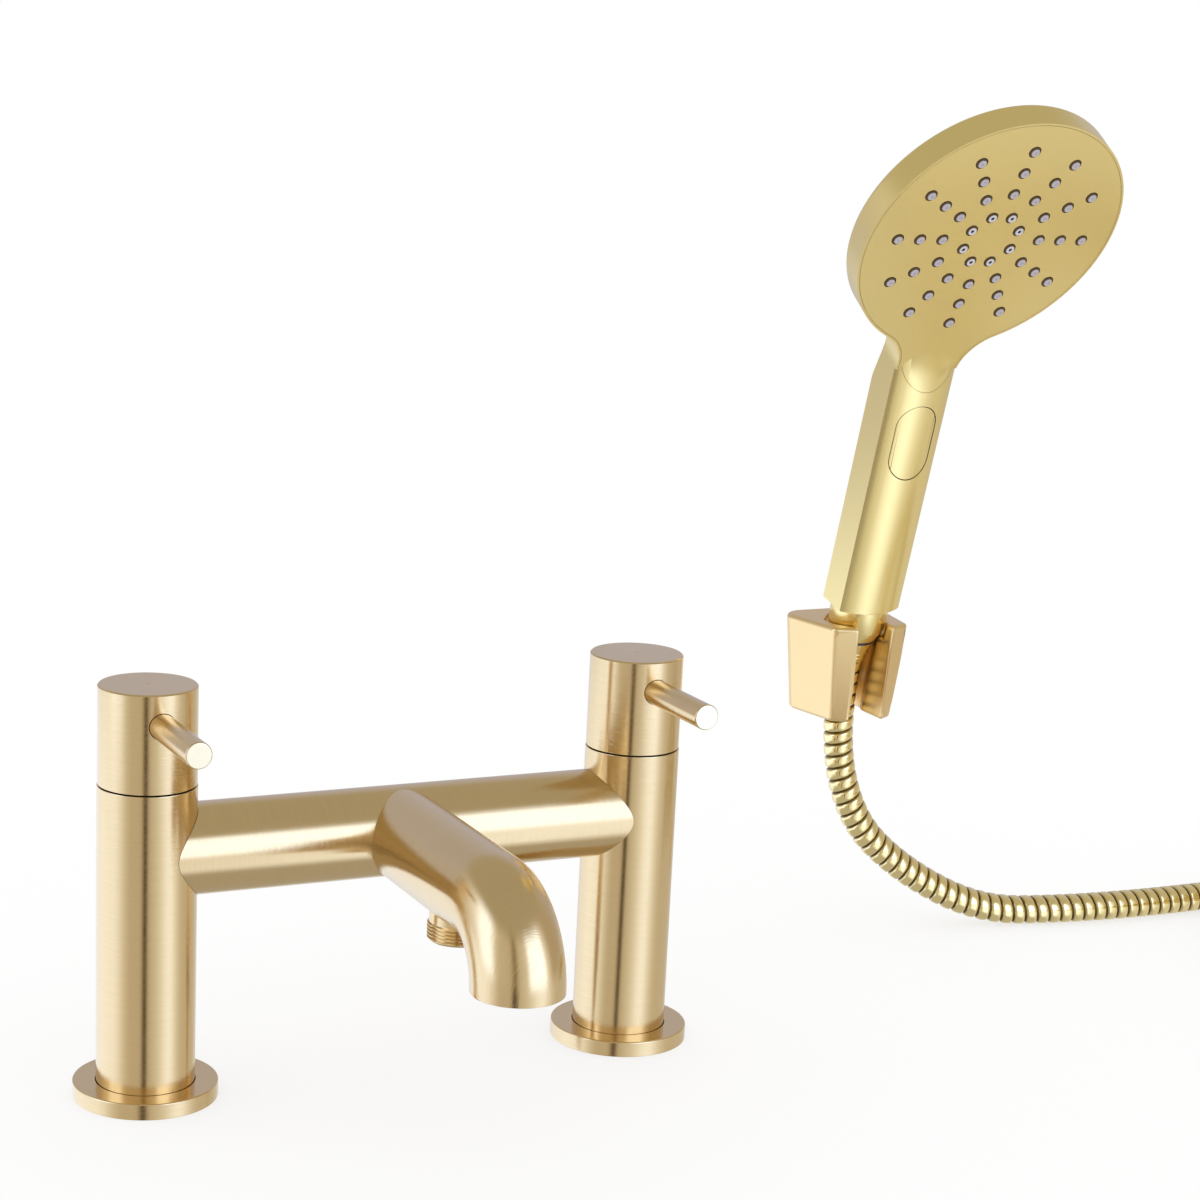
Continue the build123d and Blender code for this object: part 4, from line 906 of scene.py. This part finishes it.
@dataclass
class MixerBody:
    """The fixed gold tubes: two pillars, the bridge across them, the spout and the shower outlet."""

    pillar_x: float = PILLAR_X
    pillar_radius: float = 16.75
    pillar_top: float = 109.4
    pillar_foot: float = 2.6
    pillar_gap: float = 0.1
    valve_bore: Pair = (11.0, 76.0)
    inlet_bore: float = 8.5
    spigot_bore: Pair = (11.05, 17.6)
    bridge_radius: float = 15.7
    bridge_height: float = 85.7
    bridge_gap: float = 0.08
    boss: Triple = (10.6, 22.0, 79.2)
    boss_bore: float = 8.65
    spout_radius: float = 15.4
    spout_reach: float = 102.4
    spout_bend: float = 23.8
    spout_steps: int = 36
    spout_seam: float = 0.001
    spout_lip: float = 0.5
    spout_mouth: Pair = (13.0, 6.4)
    outlet_y: float = -55.0
    outlet_neck: float = 9.9
    outlet_thread: Pair = (10.48, 0.55)
    outlet_turns: int = 5
    outlet_lead: Pair = (0.2, 0.3)
    outlet_step: float = 0.1
    outlet_saddle: float = 30.0
    outlet_bore: float = 7.0
    outlet_heights: Triple = (63.9, 70.25, 75.0)
    aerator: tuple[float, float, float, float] = (11.0, 12.95, 61.8, 67.8)

    def build(self) -> None:
        """Builds the tubes."""
        for side, x in HANDS:
            self.build_pillar(side, x)
        self.build_bridge()
        self.build_spout()
        self.build_outlet()
        self.build_aerator()

    def build_pillar(self, side: str, x: float) -> None:
        """Hollow round pillar with the seat of its valve."""
        bore, bore_floor = self.valve_bore
        spigot_radius, spigot_top = self.spigot_bore
        rings = [
            *rod(self.pillar_radius, self.pillar_foot, self.pillar_top),
            *rod(bore, self.pillar_top, bore_floor), *rod(self.inlet_bore, bore_floor, spigot_top),
            *rod(spigot_radius, spigot_top, self.pillar_foot),
        ]
        pillar = lathed(f"round_pillar_{side}", rings, at(x), 0.3, FINE_SIDES)
        fitted(pillar, "mixer", GOLD_Z, "brushed_brass", f"pillar_{side}")

    def along_x(self, radius: float, start: float, end: float) -> Piece:
        """Bar along the bridge's axis."""
        bar = turned("bar", rod(radius, start, end), sides=FINE_SIDES)
        return placed(bar, at(0.0, 0.0, self.bridge_height) @ Matrix.Rotation(math.pi / 2, 4, "Y"))

    def build_bridge(self) -> None:
        """Cross tube saddled on the pillars, with the round boss of the diverter behind."""
        bridge = self.along_x(self.bridge_radius, -self.pillar_x, self.pillar_x)
        bridge.name = "cross_bridge"
        boss_radius, boss_end, boss_height = self.boss
        boss = turned("boss", rod(boss_radius, 0.0, boss_end), sides=SIDES)
        carved(bridge, placed(boss, at(0.0, 0.0, boss_height) @ TO_BACK), operation="UNION")
        bore = turned("bore", rod(self.boss_bore, self.boss_bore, boss_end + LONG_OVERCUT), sides=SIDES)
        cutters = [placed(bore, at(0.0, 0.0, boss_height) @ TO_BACK)]
        for x in (-self.pillar_x, self.pillar_x):
            radius = self.pillar_radius + self.pillar_gap
            top = self.pillar_top + 2 * LONG_OVERCUT
            post = turned("post", rod(radius, 0.0, top), sides=FINE_SIDES)
            cutters.append(placed(post, at(x)))
        carved(bridge, *cutters)
        softened(bridge, width=0.22)
        fitted(bridge, "mixer", GOLD_X, "brushed_brass", "bridge_tube")

    def build_spout(self) -> None:
        """Round spout: a straight run, a quarter bend, a lip and the recess of the aerator."""
        bend_y = self.spout_bend - self.spout_reach
        bend_z = self.bridge_height - self.spout_bend
        bpy.ops.object.select_all(action="DESELECT")
        start = Vector((0.0, 0.0, self.bridge_height)) * MM
        upright = (math.pi / 2, 0.0, 0.0)
        radius = self.spout_radius * MM
        bpy.ops.mesh.primitive_circle_add(
            vertices=ROUND_SIDES, radius=radius, location=start, rotation=upright
        )
        spout = bpy.context.object
        spout.name = "bent_spout"
        edit(spout)
        push(y=bend_y)
        centre = Vector((0.0, bend_y, bend_z)) * MM
        bpy.ops.mesh.spin(steps=self.spout_steps, angle=-math.pi / 2, center=centre, axis=(1.0, 0.0, 0.0))
        self.shape_lip()
        bpy.ops.mesh.select_all(action="SELECT")
        bpy.ops.mesh.remove_doubles(threshold=self.spout_seam * MM)
        bpy.ops.mesh.fill_holes(sides=0)
        close(spout)
        reach = 2 * self.spout_radius
        carved(spout, self.along_x(self.bridge_radius + self.bridge_gap, -reach, reach))
        softened(spout, width=0.2)
        fitted(spout, "mixer", GOLD_Y, "brushed_brass", "spout_tube")

    def shape_lip(self) -> None:
        """Drops the spout's open end by the lip, turns it in and sinks the recess."""
        mouth_radius, mouth_depth = self.spout_mouth
        centre = Vector((0.0, -self.spout_reach, 0.0)) * MM
        share = mouth_radius / self.spout_radius
        push(z=-self.spout_lip)
        push()
        bpy.ops.transform.resize(value=(share, share, 1.0), center_override=centre)
        push(z=mouth_depth)

    def build_outlet(self) -> None:
        """Threaded nipple under the spout."""
        low, shoulder, top = self.outlet_heights
        radius, depth = self.outlet_thread
        inwards, upwards = self.outlet_lead
        rings = [*rod(self.outlet_bore, top, low), (radius - depth - inwards, low)]
        rings += ridges(radius, depth, low + upwards, shoulder, self.outlet_turns)
        rings += rod(self.outlet_neck, shoulder + self.outlet_step, top)
        outlet = turned("threaded_outlet", rings, sides=SIDES, hollow=True)
        placed(outlet, at(0.0, self.outlet_y))
        bar = turned("bar", rod(self.spout_radius, -self.outlet_saddle, self.outlet_saddle))
        carved(outlet, placed(bar, at(0.0, self.outlet_y, self.bridge_height) @ TO_FRONT))
        softened(outlet, width=0.0)
        fitted(outlet, "mixer", GOLD_Z, "brushed_brass", "shower_outlet")

    def build_aerator(self) -> None:
        """Threaded ring in the spout's mouth."""
        ring = lathed("aerator_ring", square(*self.aerator), at(0.0, -self.spout_reach), 0.3)
        fitted(ring, "mixer", GOLD_Z, "brushed_brass", "aerator_housing")


# Controls


@dataclass
class Control:
    """One quarter-turn control: a hollow cylindrical knob and its pin lever."""

    side: str
    x: float
    radius: float = 16.55
    bottom: float = 109.9
    top: float = 143.4
    wall: float = 2.4
    roof: float = 3.4
    hub: float = 6.8
    hub_low: float = 122.0
    socket: Pair = (4.05, 134.0)
    chamfer: float = 0.5
    pip: Triple = (0.45, 0.8, 0.12)
    knob_sides: int = 192
    lever_radius: float = 4.46
    lever_gap: float = 0.14
    lever_height: float = 132.7
    lever_root: float = 6.85
    lever_tip: float = 53.4
    lever_chamfer: float = 0.35
    stud: Pair = (2.4, 4.1)

    def build(self) -> None:
        """Builds the knob and the lever."""
        forward = at(self.x, 0.0, self.lever_height) @ TO_FRONT
        self.build_knob(forward)
        self.build_lever(forward)

    def build_knob(self, forward: Matrix) -> None:
        """Turned cap with a hub inside and the hole of its lever."""
        socket_radius, socket_top = self.socket
        inner = self.radius - self.wall
        ceiling = self.top - self.roof
        pip_floor, pip_rim, pip_depth = self.pip
        rings = [
            (pip_floor, self.top - pip_depth), (pip_rim, self.top), (self.radius - self.chamfer, self.top),
            *rod(self.radius, self.top - self.chamfer, self.bottom), *rod(inner, self.bottom, ceiling),
            *rod(self.hub, ceiling, self.hub_low), *rod(socket_radius, self.hub_low, socket_top),
        ]
        knob = turned(f"turned_knob_{self.side}", rings, sides=self.knob_sides)
        placed(knob, at(self.x))
        hole_radius = self.lever_radius + self.lever_gap
        hole = turned("hole", rod(hole_radius, self.hub, self.radius + LONG_OVERCUT), sides=HOLE_SIDES)
        carved(knob, placed(hole, forward))
        softened(knob, width=0.16)
        fitted(knob, f"{self.side}_control", GOLD_Z, "brushed_brass", f"knob_{self.side}")

    def build_lever(self, forward: Matrix) -> None:
        """Round pin with a chamfered tip and its threaded stud."""
        stud_radius, stud_end = self.stud
        radius = self.lever_radius
        chamfer = self.lever_chamfer
        rings = [
            *rod(stud_radius, stud_end, self.lever_root),
            *rod(radius, self.lever_root, self.lever_tip - chamfer), (radius - chamfer, self.lever_tip),
        ]
        lever = turned(f"pin_lever_{self.side}", rings, sides=SIDES)
        softened(placed(lever, forward), width=0.12)
        fitted(lever, f"{self.side}_control", GOLD_TIP, "brushed_brass", f"lever_{self.side}")


@dataclass
class Diverter:
    """Small fluted knob behind the bridge that sends the water to spout or shower."""

    height: float = 79.2
    front: float = 23.7
    length: float = 10.5
    radius: float = 8.4
    chamfer: float = 0.5
    socket: Pair = (2.65, 7.5)
    flutes: int = 6
    flute_radius: float = 1.6
    flute_end: float = 20.0
    flute_sides: int = 48

    def build(self) -> None:
        """Builds the knob."""
        socket_radius, socket_depth = self.socket
        rings = [
            *rod(socket_radius, socket_depth, 0.0), *rod(self.radius, 0.0, self.length - self.chamfer),
            (self.radius - self.chamfer, self.length),
        ]
        knob = turned("fluted_knob", rings, sides=SIDES)
        cutters = []
        for flute in range(self.flutes):
            angle = math.tau * (flute + 0.5) / self.flutes
            rings = rod(self.flute_radius, self.flute_radius, self.flute_end)
            groove = turned("groove", rings, sides=self.flute_sides)
            cutters.append(placed(groove, at(self.radius * math.cos(angle), self.radius * math.sin(angle))))
        carved(knob, *cutters)
        behind = at(0.0, self.front, self.height) @ TO_BACK
        softened(placed(knob, behind), width=0.18)
        fitted(knob, "diverter_control", GOLD_Y, "brushed_brass", "diverter_knob")


# Handset and bracket


@dataclass
class Handset:
    """Bracket and handset, whose own frame leans forward out of the bracket's socket."""

    x: float = 225.0
    socket_y: float = 71.0
    socket_top: float = 133.0
    rise: float = 8.0
    lean: float = 15.0
    handle_length: float = 112.0
    handle_front: float = -11.15
    head_radius: float = 52.0
    head_tilt: float = 20.0
    head_thickness: float = 12.0
    patch: Triple = (3.4, -49.1, 1.1)
    plate_depth: float = 1.6
    ring_shares: tuple[float, ...] = (0.40, 0.58, 0.76)
    spokes: int = 12
    inner_share: float = 0.21
    inner_count: int = 8
    nozzle_radius: float = 2.0
    nozzle_tip: Pair = (1.62, 0.75)
    tip_chamfer: Pair = (0.16, 0.14)
    skirt_height: float = 0.1
    skirt_gap: Pair = (0.06, 0.12)
    bore_flare: float = 0.12
    ring_step: float = 0.1
    nozzle_sides: int = 24
    nozzle_bore: Pair = (0.5, 0.35)
    inner_bore: Pair = (0.72, 0.35)
    inner_ring: float = 1.3
    nut: Levels = (
        (11.4, -0.05), (11.3, -8.85), (8.9, -14.05), (5.05, -14.05), (5.05, -8.65), (10.45, -8.65),
        (10.45, -0.05),
    )
    ring: tuple[float, float, float, float] = (5.05, 8.7, -15.25, -14.05)
    hose_start: float = -24.25

    def place(self) -> Matrix:
        """Returns the handset's own frame."""
        lean = math.radians(self.lean)
        y = self.socket_y - self.rise * math.sin(lean)
        z = self.socket_top + self.rise * math.cos(lean)
        return at(self.x, y, z) @ Matrix.Rotation(lean, 4, "X")

    def face(self) -> Matrix:
        """Returns the spray face's frame: X across, Y up the face, Z out of it."""
        tilt = math.radians(self.head_tilt)
        y = self.handle_front - self.head_radius * math.sin(tilt)
        z = self.handle_length + self.head_radius * math.cos(tilt)
        return self.place() @ at(0.0, y, z) @ Matrix.Rotation(math.pi / 2 + tilt, 4, "X")

    def build(self) -> None:
        """Builds the bracket and the handset's pieces."""
        bracket = rounded(copied("wall_bracket", "socket_bracket"), width=1.6, longest=20.0)
        softened(bracket, width=0.4, segments=2, angle=50.0)
        fitted(bracket, "mixer", BRACKET_GOLD, "bracket_gold", "wall_bracket")
        shell = softened(self.patched(copied("handset_shell", "handset_body")), width=0.3)
        fitted(shell, "handset", HANDSET_GOLD, "handset_gold", "handset_shell")
        plate = softened(copied("face_plate", "spray_plate"), width=0.15)
        fitted(plate, "handset", HANDSET_GOLD, "handset_gold", "face_plate")
        button = softened(copied("spray_button", "push_button"), width=0.2)
        fitted(button, "button", HANDSET_GOLD, "handset_gold", "spray_button")
        self.build_nozzles()
        self.build_nut()

    def patched(self, shell: Piece) -> Piece:
        """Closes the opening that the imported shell's waterway cuts through the back of the neck.

        Args:
            shell: the copy of the shell.

        Returns:
            The same piece with a whole back.
        """
        radius, height, thickness = self.patch
        rings = rod(radius, -self.head_thickness, thickness - self.head_thickness)
        patch = placed(turned("patch", rings, sides=HOLE_SIDES), self.face() @ at(0.0, height))
        return merged(carved(shell, patch, operation="UNION"))

    def nozzle_places(self, shares: Sequence[float], count: int, offset: float) -> list[Matrix]:
        """Returns the places of rings of nozzles on the face, by their shares of the head's radius."""
        places = []
        for share in shares:
            for step in range(count):
                angle = math.tau * (step + offset) / count
                radius = self.head_radius * share
                places.append(self.face() @ at(radius * math.cos(angle), radius * math.sin(angle)))
        return places

    def build_nozzles(self) -> None:
        """Soft nozzles that stand a little out of the plate, the inner ring's with a wide jet hole; their
        dark skirts and the black plugs in the jet holes are painted shade.
        """
        outer = self.nozzle_places(self.ring_shares, self.spokes, 0.0)
        inner = self.nozzle_places((self.inner_share,), self.inner_count, 0.5)
        depth = -self.plate_depth
        tip, top = self.nozzle_tip
        outwards, down = self.skirt_gap
        inside = tip + outwards
        skirt = [*rod(self.nozzle_radius, depth, self.skirt_height), *rod(inside, top - down, depth)]
        # The skirts are painted shade and painted reflection on the nozzles' side walls.
        self.spread("nozzle_skirts", skirt, outer + inner, SKIRT_SHADE, hollow=True)
        bore, bore_depth = self.nozzle_bore
        inwards, down = self.tip_chamfer
        side = [(tip, depth), (tip, top - down), (tip - inwards, top)]
        face = [*side, (bore + self.bore_flare, top), (bore, top - bore_depth)]
        self.spread("spray_nozzles", face, outer, NOZZLE_RUBBER)
        bore, bore_depth = self.inner_bore
        edge = self.inner_ring
        step = top - self.ring_step
        face = [*side, *rod(edge, top, step), *rod(bore, step, depth)]
        self.spread("jet_nozzles", face, inner, NOZZLE_RING, hollow=True)
        # Black plugs in the jet holes: painted shade in place of the deep holes' darkness.
        self.spread("jet_bores", rod(bore, depth, top - bore_depth), inner, BORE_SHADE)

    def spread(
        self, name: str, rings: Rings, places: Sequence[Matrix], finish: Moulded, hollow: bool = False
    ) -> None:
        """Turns one small form, copies it to all the places and joins the copies into one piece."""
        pattern = softened(turned("nozzle", rings, sides=self.nozzle_sides, hollow=hollow), width=0.06)
        copies = [placed(twin(pattern), place) for place in places]
        bpy.data.objects.remove(pattern, do_unlink=True)
        fitted(joined(name, copies), "handset", finish, "nozzle_rubber")

    def build_nut(self) -> None:
        """Conical hose nut, the black ring that it turns on and the ferrule under them."""
        nut = lathed("conical_nut", self.nut, self.place(), 0.2, ROUND_SIDES)
        fitted(nut, "handset", HANDSET_GOLD, "brushed_brass", "cone_nut")
        ring = lathed("black_ring", square(*self.ring), self.place(), 0.2)
        fitted(ring, "hose_head", BLACK_PLASTIC, "black_plastic", "swivel_ring")
        ferrule = Ferrule("upper_ferrule", collar=(15.7, 16.9))
        ferrule.build(self.place() @ at(0.0, 0.0, self.hose_start), "hose_head", "hose_ferrule")


@dataclass
class Ferrule:
    """Tapered ferrule crimped on an end of the hose, its narrow end at zero, with its stem and collar."""

    name: str
    collar: Pair
    narrow: float = 6.3
    wide: float = 8.4
    length: float = 9.0
    bore: float = 3.8
    stem: float = 5.0
    collar_radius: float = 8.2
    crimp_heights: Pair = (2.2, 4.0)
    crimp_depth: float = 0.25
    crimp_steps: Pair = (0.2, 0.5)

    def build(self, place: Matrix, body: str, node: str) -> Piece:
        """Builds the ferrule at its place.

        Args:
            place: where its narrow end sits, with Z towards the nut.
            body: the body that it rides on.
            node: the CAD node that it stands for.

        Returns:
            The finished piece.
        """
        low, high = self.collar
        rings = [(self.bore, 0.0), (self.narrow, 0.0)]
        floor, end = self.crimp_steps
        for crimp in self.crimp_heights:
            radius = self.narrow + (self.wide - self.narrow) * crimp / self.length
            rings += [(radius, crimp), (radius - self.crimp_depth, crimp + floor), (radius, crimp + end)]
        rings += [(self.wide, self.length), *rod(self.stem, self.length, low)]
        rings += [*rod(self.collar_radius, low, high), (self.bore, high)]
        ferrule = lathed(self.name, rings, place, 0.15)
        return fitted(ferrule, body, HANDSET_GOLD, "brushed_brass", node)


# Hose


@dataclass
class Hose:
    """Wound metal hose from the handset's nut to the floor and away, put away in a neat coil out of view.

    Attributes:
        route: points of the hose in metres, from its ferrule to the floor and along it.
        half_turns: radii of the coil's half-turns in metres.
        climb: rise from the coil's lower layer to its upper one, in metres.
        points_per_half_turn: points on each of them.
        way_out: points of the free end after the coil, as steps from its last turn, in metres.
        length: what the hose is sold as, in metres; not used.
        radius: radius over the ribs, in metres.
        pitch: length of one winding, in metres.
        sides: points of one winding.
        wave: how far along a winding each point of its rib is, and its height from groove to crown.
        crown: height of a rib over its edges, in metres.
        groove: depth of the groove under them, in metres.
        seam: points of the strip nearer than this are one, in millimetres.
        smooth: the least angle of a sharp edge, in degrees.
        nut_across: the end nut across its flats, and its other sizes after it, in millimetres.
    """

    route: tuple[Triple, ...] = (
        (0.225, 0.075206, 0.117304),
        (0.225, 0.082970, 0.088326),
        (0.2351, 0.0828, 0.0478),
        (0.2589, 0.0777, 0.0240),
        (0.2929, 0.0669, 0.0060),
        (0.3294, 0.0576, 0.0060),
        (0.3670, 0.0540, 0.0060),
        (0.4040, 0.0540, 0.0060),
        (0.4560, 0.0540, 0.0060),
    )
    half_turns: tuple[float, ...] = (0.0760, 0.0696, 0.0632, 0.0696, 0.0760)
    climb: float = 0.0128
    points_per_half_turn: int = 12
    way_out: Levels = ((0.012, 0.0), (0.028, 0.0), (0.048, -0.0068), (0.064, -0.0068), (0.076, -0.0068))
    length: float = 1.5
    radius: float = 0.006
    pitch: float = 0.0052
    sides: int = 20
    wave: Levels = (
        (0.0, 0.0), (0.10, 0.75), (0.24, 1.0), (0.44, 1.0), (0.58, 0.75), (0.68, 0.0), (0.80, -1.0),
        (0.90, -1.0),
    )
    crown: float = 0.00018
    groove: float = 0.0007
    seam: float = 0.004
    smooth: float = 40.0
    nut_across: float = 24.0
    nut_length: float = 11.0
    nut_bore: float = 10.53
    nut_floor: float = 2.0
    nut_eye: float = 5.05
    nut_chamfer: float = 0.9
    nut_start: float = 9.05

    def control_points(self) -> list[Vector]:
        """Returns the route with the coil's turns and the way out."""
        points = [Vector(point) for point in self.route]
        here = points[-1]
        side = 1
        for radius in self.half_turns:
            rise = self.climb if radius == min(self.half_turns) else 0.0
            step = Vector((0.0, -side * math.sqrt(4 * radius**2 - rise**2), rise))
            bulge = Vector((side * radius, 0.0, 0.0))
            for number in range(1, self.points_per_half_turn + 1):
                angle = math.pi * number / self.points_per_half_turn
                points.append(here + step * (1 - math.cos(angle)) / 2 + bulge * math.sin(angle))
            here = here + step
            side = -side
        return points + [here + Vector((-out, 0.0, drop)) for out, drop in self.way_out]

    def line(self) -> list[Vector]:
        """Returns close points of the smooth line through the route."""
        curve = bpy.data.curves.new("hose_line", "CURVE")
        curve.dimensions = "3D"
        spline = curve.splines.new("NURBS")
        points = self.control_points()
        spline.points.add(len(points) - 1)
        for point, place in zip(spline.points, points):
            point.co = (*place, 1.0)
        spline.order_u = 3
        spline.use_endpoint_u = True
        spline.resolution_u = 12
        holder = linked("hose_line", curve)
        bpy.context.view_layer.update()
        mesh = bpy.data.meshes.new_from_object(holder)
        line = [vertex.co.copy() for vertex in mesh.vertices]
        bpy.data.objects.remove(holder, do_unlink=True)
        return line

    @staticmethod
    def stations(line: Sequence[Vector]) -> tuple[list[float], list[tuple[Vector, Vector]]]:
        """Returns each point's distance along the line, and two directions square to it that don't twist."""
        distances = [0.0]
        across = Vector((1.0, 0.0, 0.0))
        frames = []
        for index, point in enumerate(line):
            ahead = line[min(index + 1, len(line) - 1)] - line[max(index - 1, 0)]
            tangent = ahead.normalized()
            across = (across - tangent * across.dot(tangent)).normalized()
            frames.append((across.copy(), tangent.cross(across)))
            if index:
                distances.append(distances[-1] + (point - line[index - 1]).length)
        return distances, frames

    def build(self) -> None:
        line = self.line()
        hose = self.wound(line)
        dressed(hose, STRIP)
        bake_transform(hose)
        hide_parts("hose_run", "hose_coil")
        fittings = self.build_end()
        upper = [bpy.data.objects["upper_ferrule"], bpy.data.objects["black_ring"]]
        fittings + upper

    def wound(self, line: Sequence[Vector]) -> Piece:
        """Winds the strip round the line: one helical groove from end to end.

        Args:
            line: close points of the hose's line.

        Returns:
            The hose as one closed mesh with its groove attribute.
        """
        distances, frames = self.stations(line)
        total = distances[-1]
        vertices = []
        depths = []
        columns = math.ceil(total / self.pitch) * self.sides + 1
        index = 0
        for column in range(-self.sides, columns):
            angle = math.tau * column / self.sides
            for share, lift in self.wave:
                along = min(max((column / self.sides + share) * self.pitch, 0.0), total)
                while distances[min(index + 1, len(distances) - 2)] < along and index < len(distances) - 2:
                    index += 1
                while distances[index] > along and index:
                    index -= 1
                step = distances[index + 1] - distances[index]
                part = (along - distances[index]) / step
                point = line[index].lerp(line[index + 1], part)
                first = frames[index][0].lerp(frames[index + 1][0], part)
                second = frames[index][1].lerp(frames[index + 1][1], part)
                at_end = along in (0.0, total)
                level = 0.0 if at_end else lift
                radius = self.radius - self.crown + (self.crown * level if level > 0 else self.groove * level)
                vertices.append(point + (first * math.cos(angle) + second * math.sin(angle)) * radius)
                depths.append(max(0.0, -level))
        return self.skinned(vertices, depths, len(self.wave))

    def skinned(self, vertices: list[Vector], depths: list[float], phases: int) -> Piece:
        """Makes the strip's faces, closes its ends and keeps the depth of the groove as an attribute."""
        columns = len(vertices) // phases
        faces = []
        for column in range(columns - 1):
            for phase in range(phases):
                wraps = phase == phases - 1
                ahead = column + self.sides if wraps else column
                if wraps and ahead + 1 >= columns:
                    continue
                corner = ahead * phases + (phase + 1) % phases
                here = column * phases + phase
                faces.append((here, here + phases, corner + phases, corner))
        mesh = bpy.data.meshes.new("shower_hose")
        mesh.from_pydata([tuple(vertex) for vertex in vertices], [], faces)
        attribute = mesh.attributes.new("groove", "FLOAT", "POINT")
        attribute.data.foreach_set("value", depths)
        hose = linked("shower_hose", mesh)
        edit(hose)
        bpy.ops.mesh.remove_doubles(threshold=self.seam * MM)
        bpy.ops.mesh.delete_loose()
        bpy.ops.mesh.select_all(action="SELECT")
        bpy.ops.mesh.fill_holes(sides=0)
        close(hose)
        bpy.ops.object.shade_smooth_by_angle(angle=math.radians(self.smooth))
        return hose

    def build_end(self) -> list[Piece]:
        """Ferrule, nut and washer on the free end, its mouth towards -X."""
        end = self.control_points()[-1]
        place = Matrix.Translation(end) @ Matrix.Rotation(-math.pi / 2, 4, "Y")
        ferrule = Ferrule("lower_ferrule", collar=(11.1, 12.3)).build(place, "mixer", "hose_end_ferrule")
        nut = hexagonal("end_nut_hexagon", self.nut_across, self.nut_length, self.nut_eye, self.nut_chamfer)
        mouth = rod(self.nut_bore, self.nut_floor, self.nut_length + OVERCUT)
        carved(nut, turned("recess", mouth, sides=SIDES))
        softened(placed(nut, place @ at(0.0, 0.0, self.nut_start)), width=0.25)
        fitted(nut, "end_nut", HANDSET_GOLD, "brushed_brass", "hose_end_nut")
        seal = dressed(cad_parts["hose_end_seal"], RUBBER)
        return [ferrule, nut, seal]


# Nodes that stay


CARRIED: dict[str, Finish] = {
    "flange_gasket": RUBBER,
    "valve_body": RAW_BRASS,
    "fixed_disc": CERAMIC,
    "turning_disc": CERAMIC,
    "spindle": RAW_BRASS,
    "aerator_insert": WHITE_PLASTIC,
    "check_valve": WHITE_PLASTIC,
    "diverter_cartridge": RAW_BRASS,
    "diverter_spindle": RAW_BRASS,
    "nozzle_pad": NOZZLE_RUBBER,
    "spray_valve": WHITE_PLASTIC,
    "handset_nipple": WHITE_PLASTIC,
    "nut_seal": RUBBER,
    "hose_end_seal": RUBBER,
}


def dress_nodes() -> None:
    """Gives each CAD node its finish."""
    for name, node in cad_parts.items():
        for start, finish in CARRIED.items():
            if name.startswith(start):
                dressed(node, finish)


def main() -> None:
    """Builds the scene in order and reports each piece."""
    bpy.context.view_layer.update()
    StudioCamera().build()
    Studio().build()
    Handset().build()
    Hose().build()
    for side, x in HANDS:
        DeckFixing(side, x).build()
        Control(side, x).build()
    MixerBody().build()
    Diverter().build()
    dress_nodes()


if __name__ == "__main__":
    main()
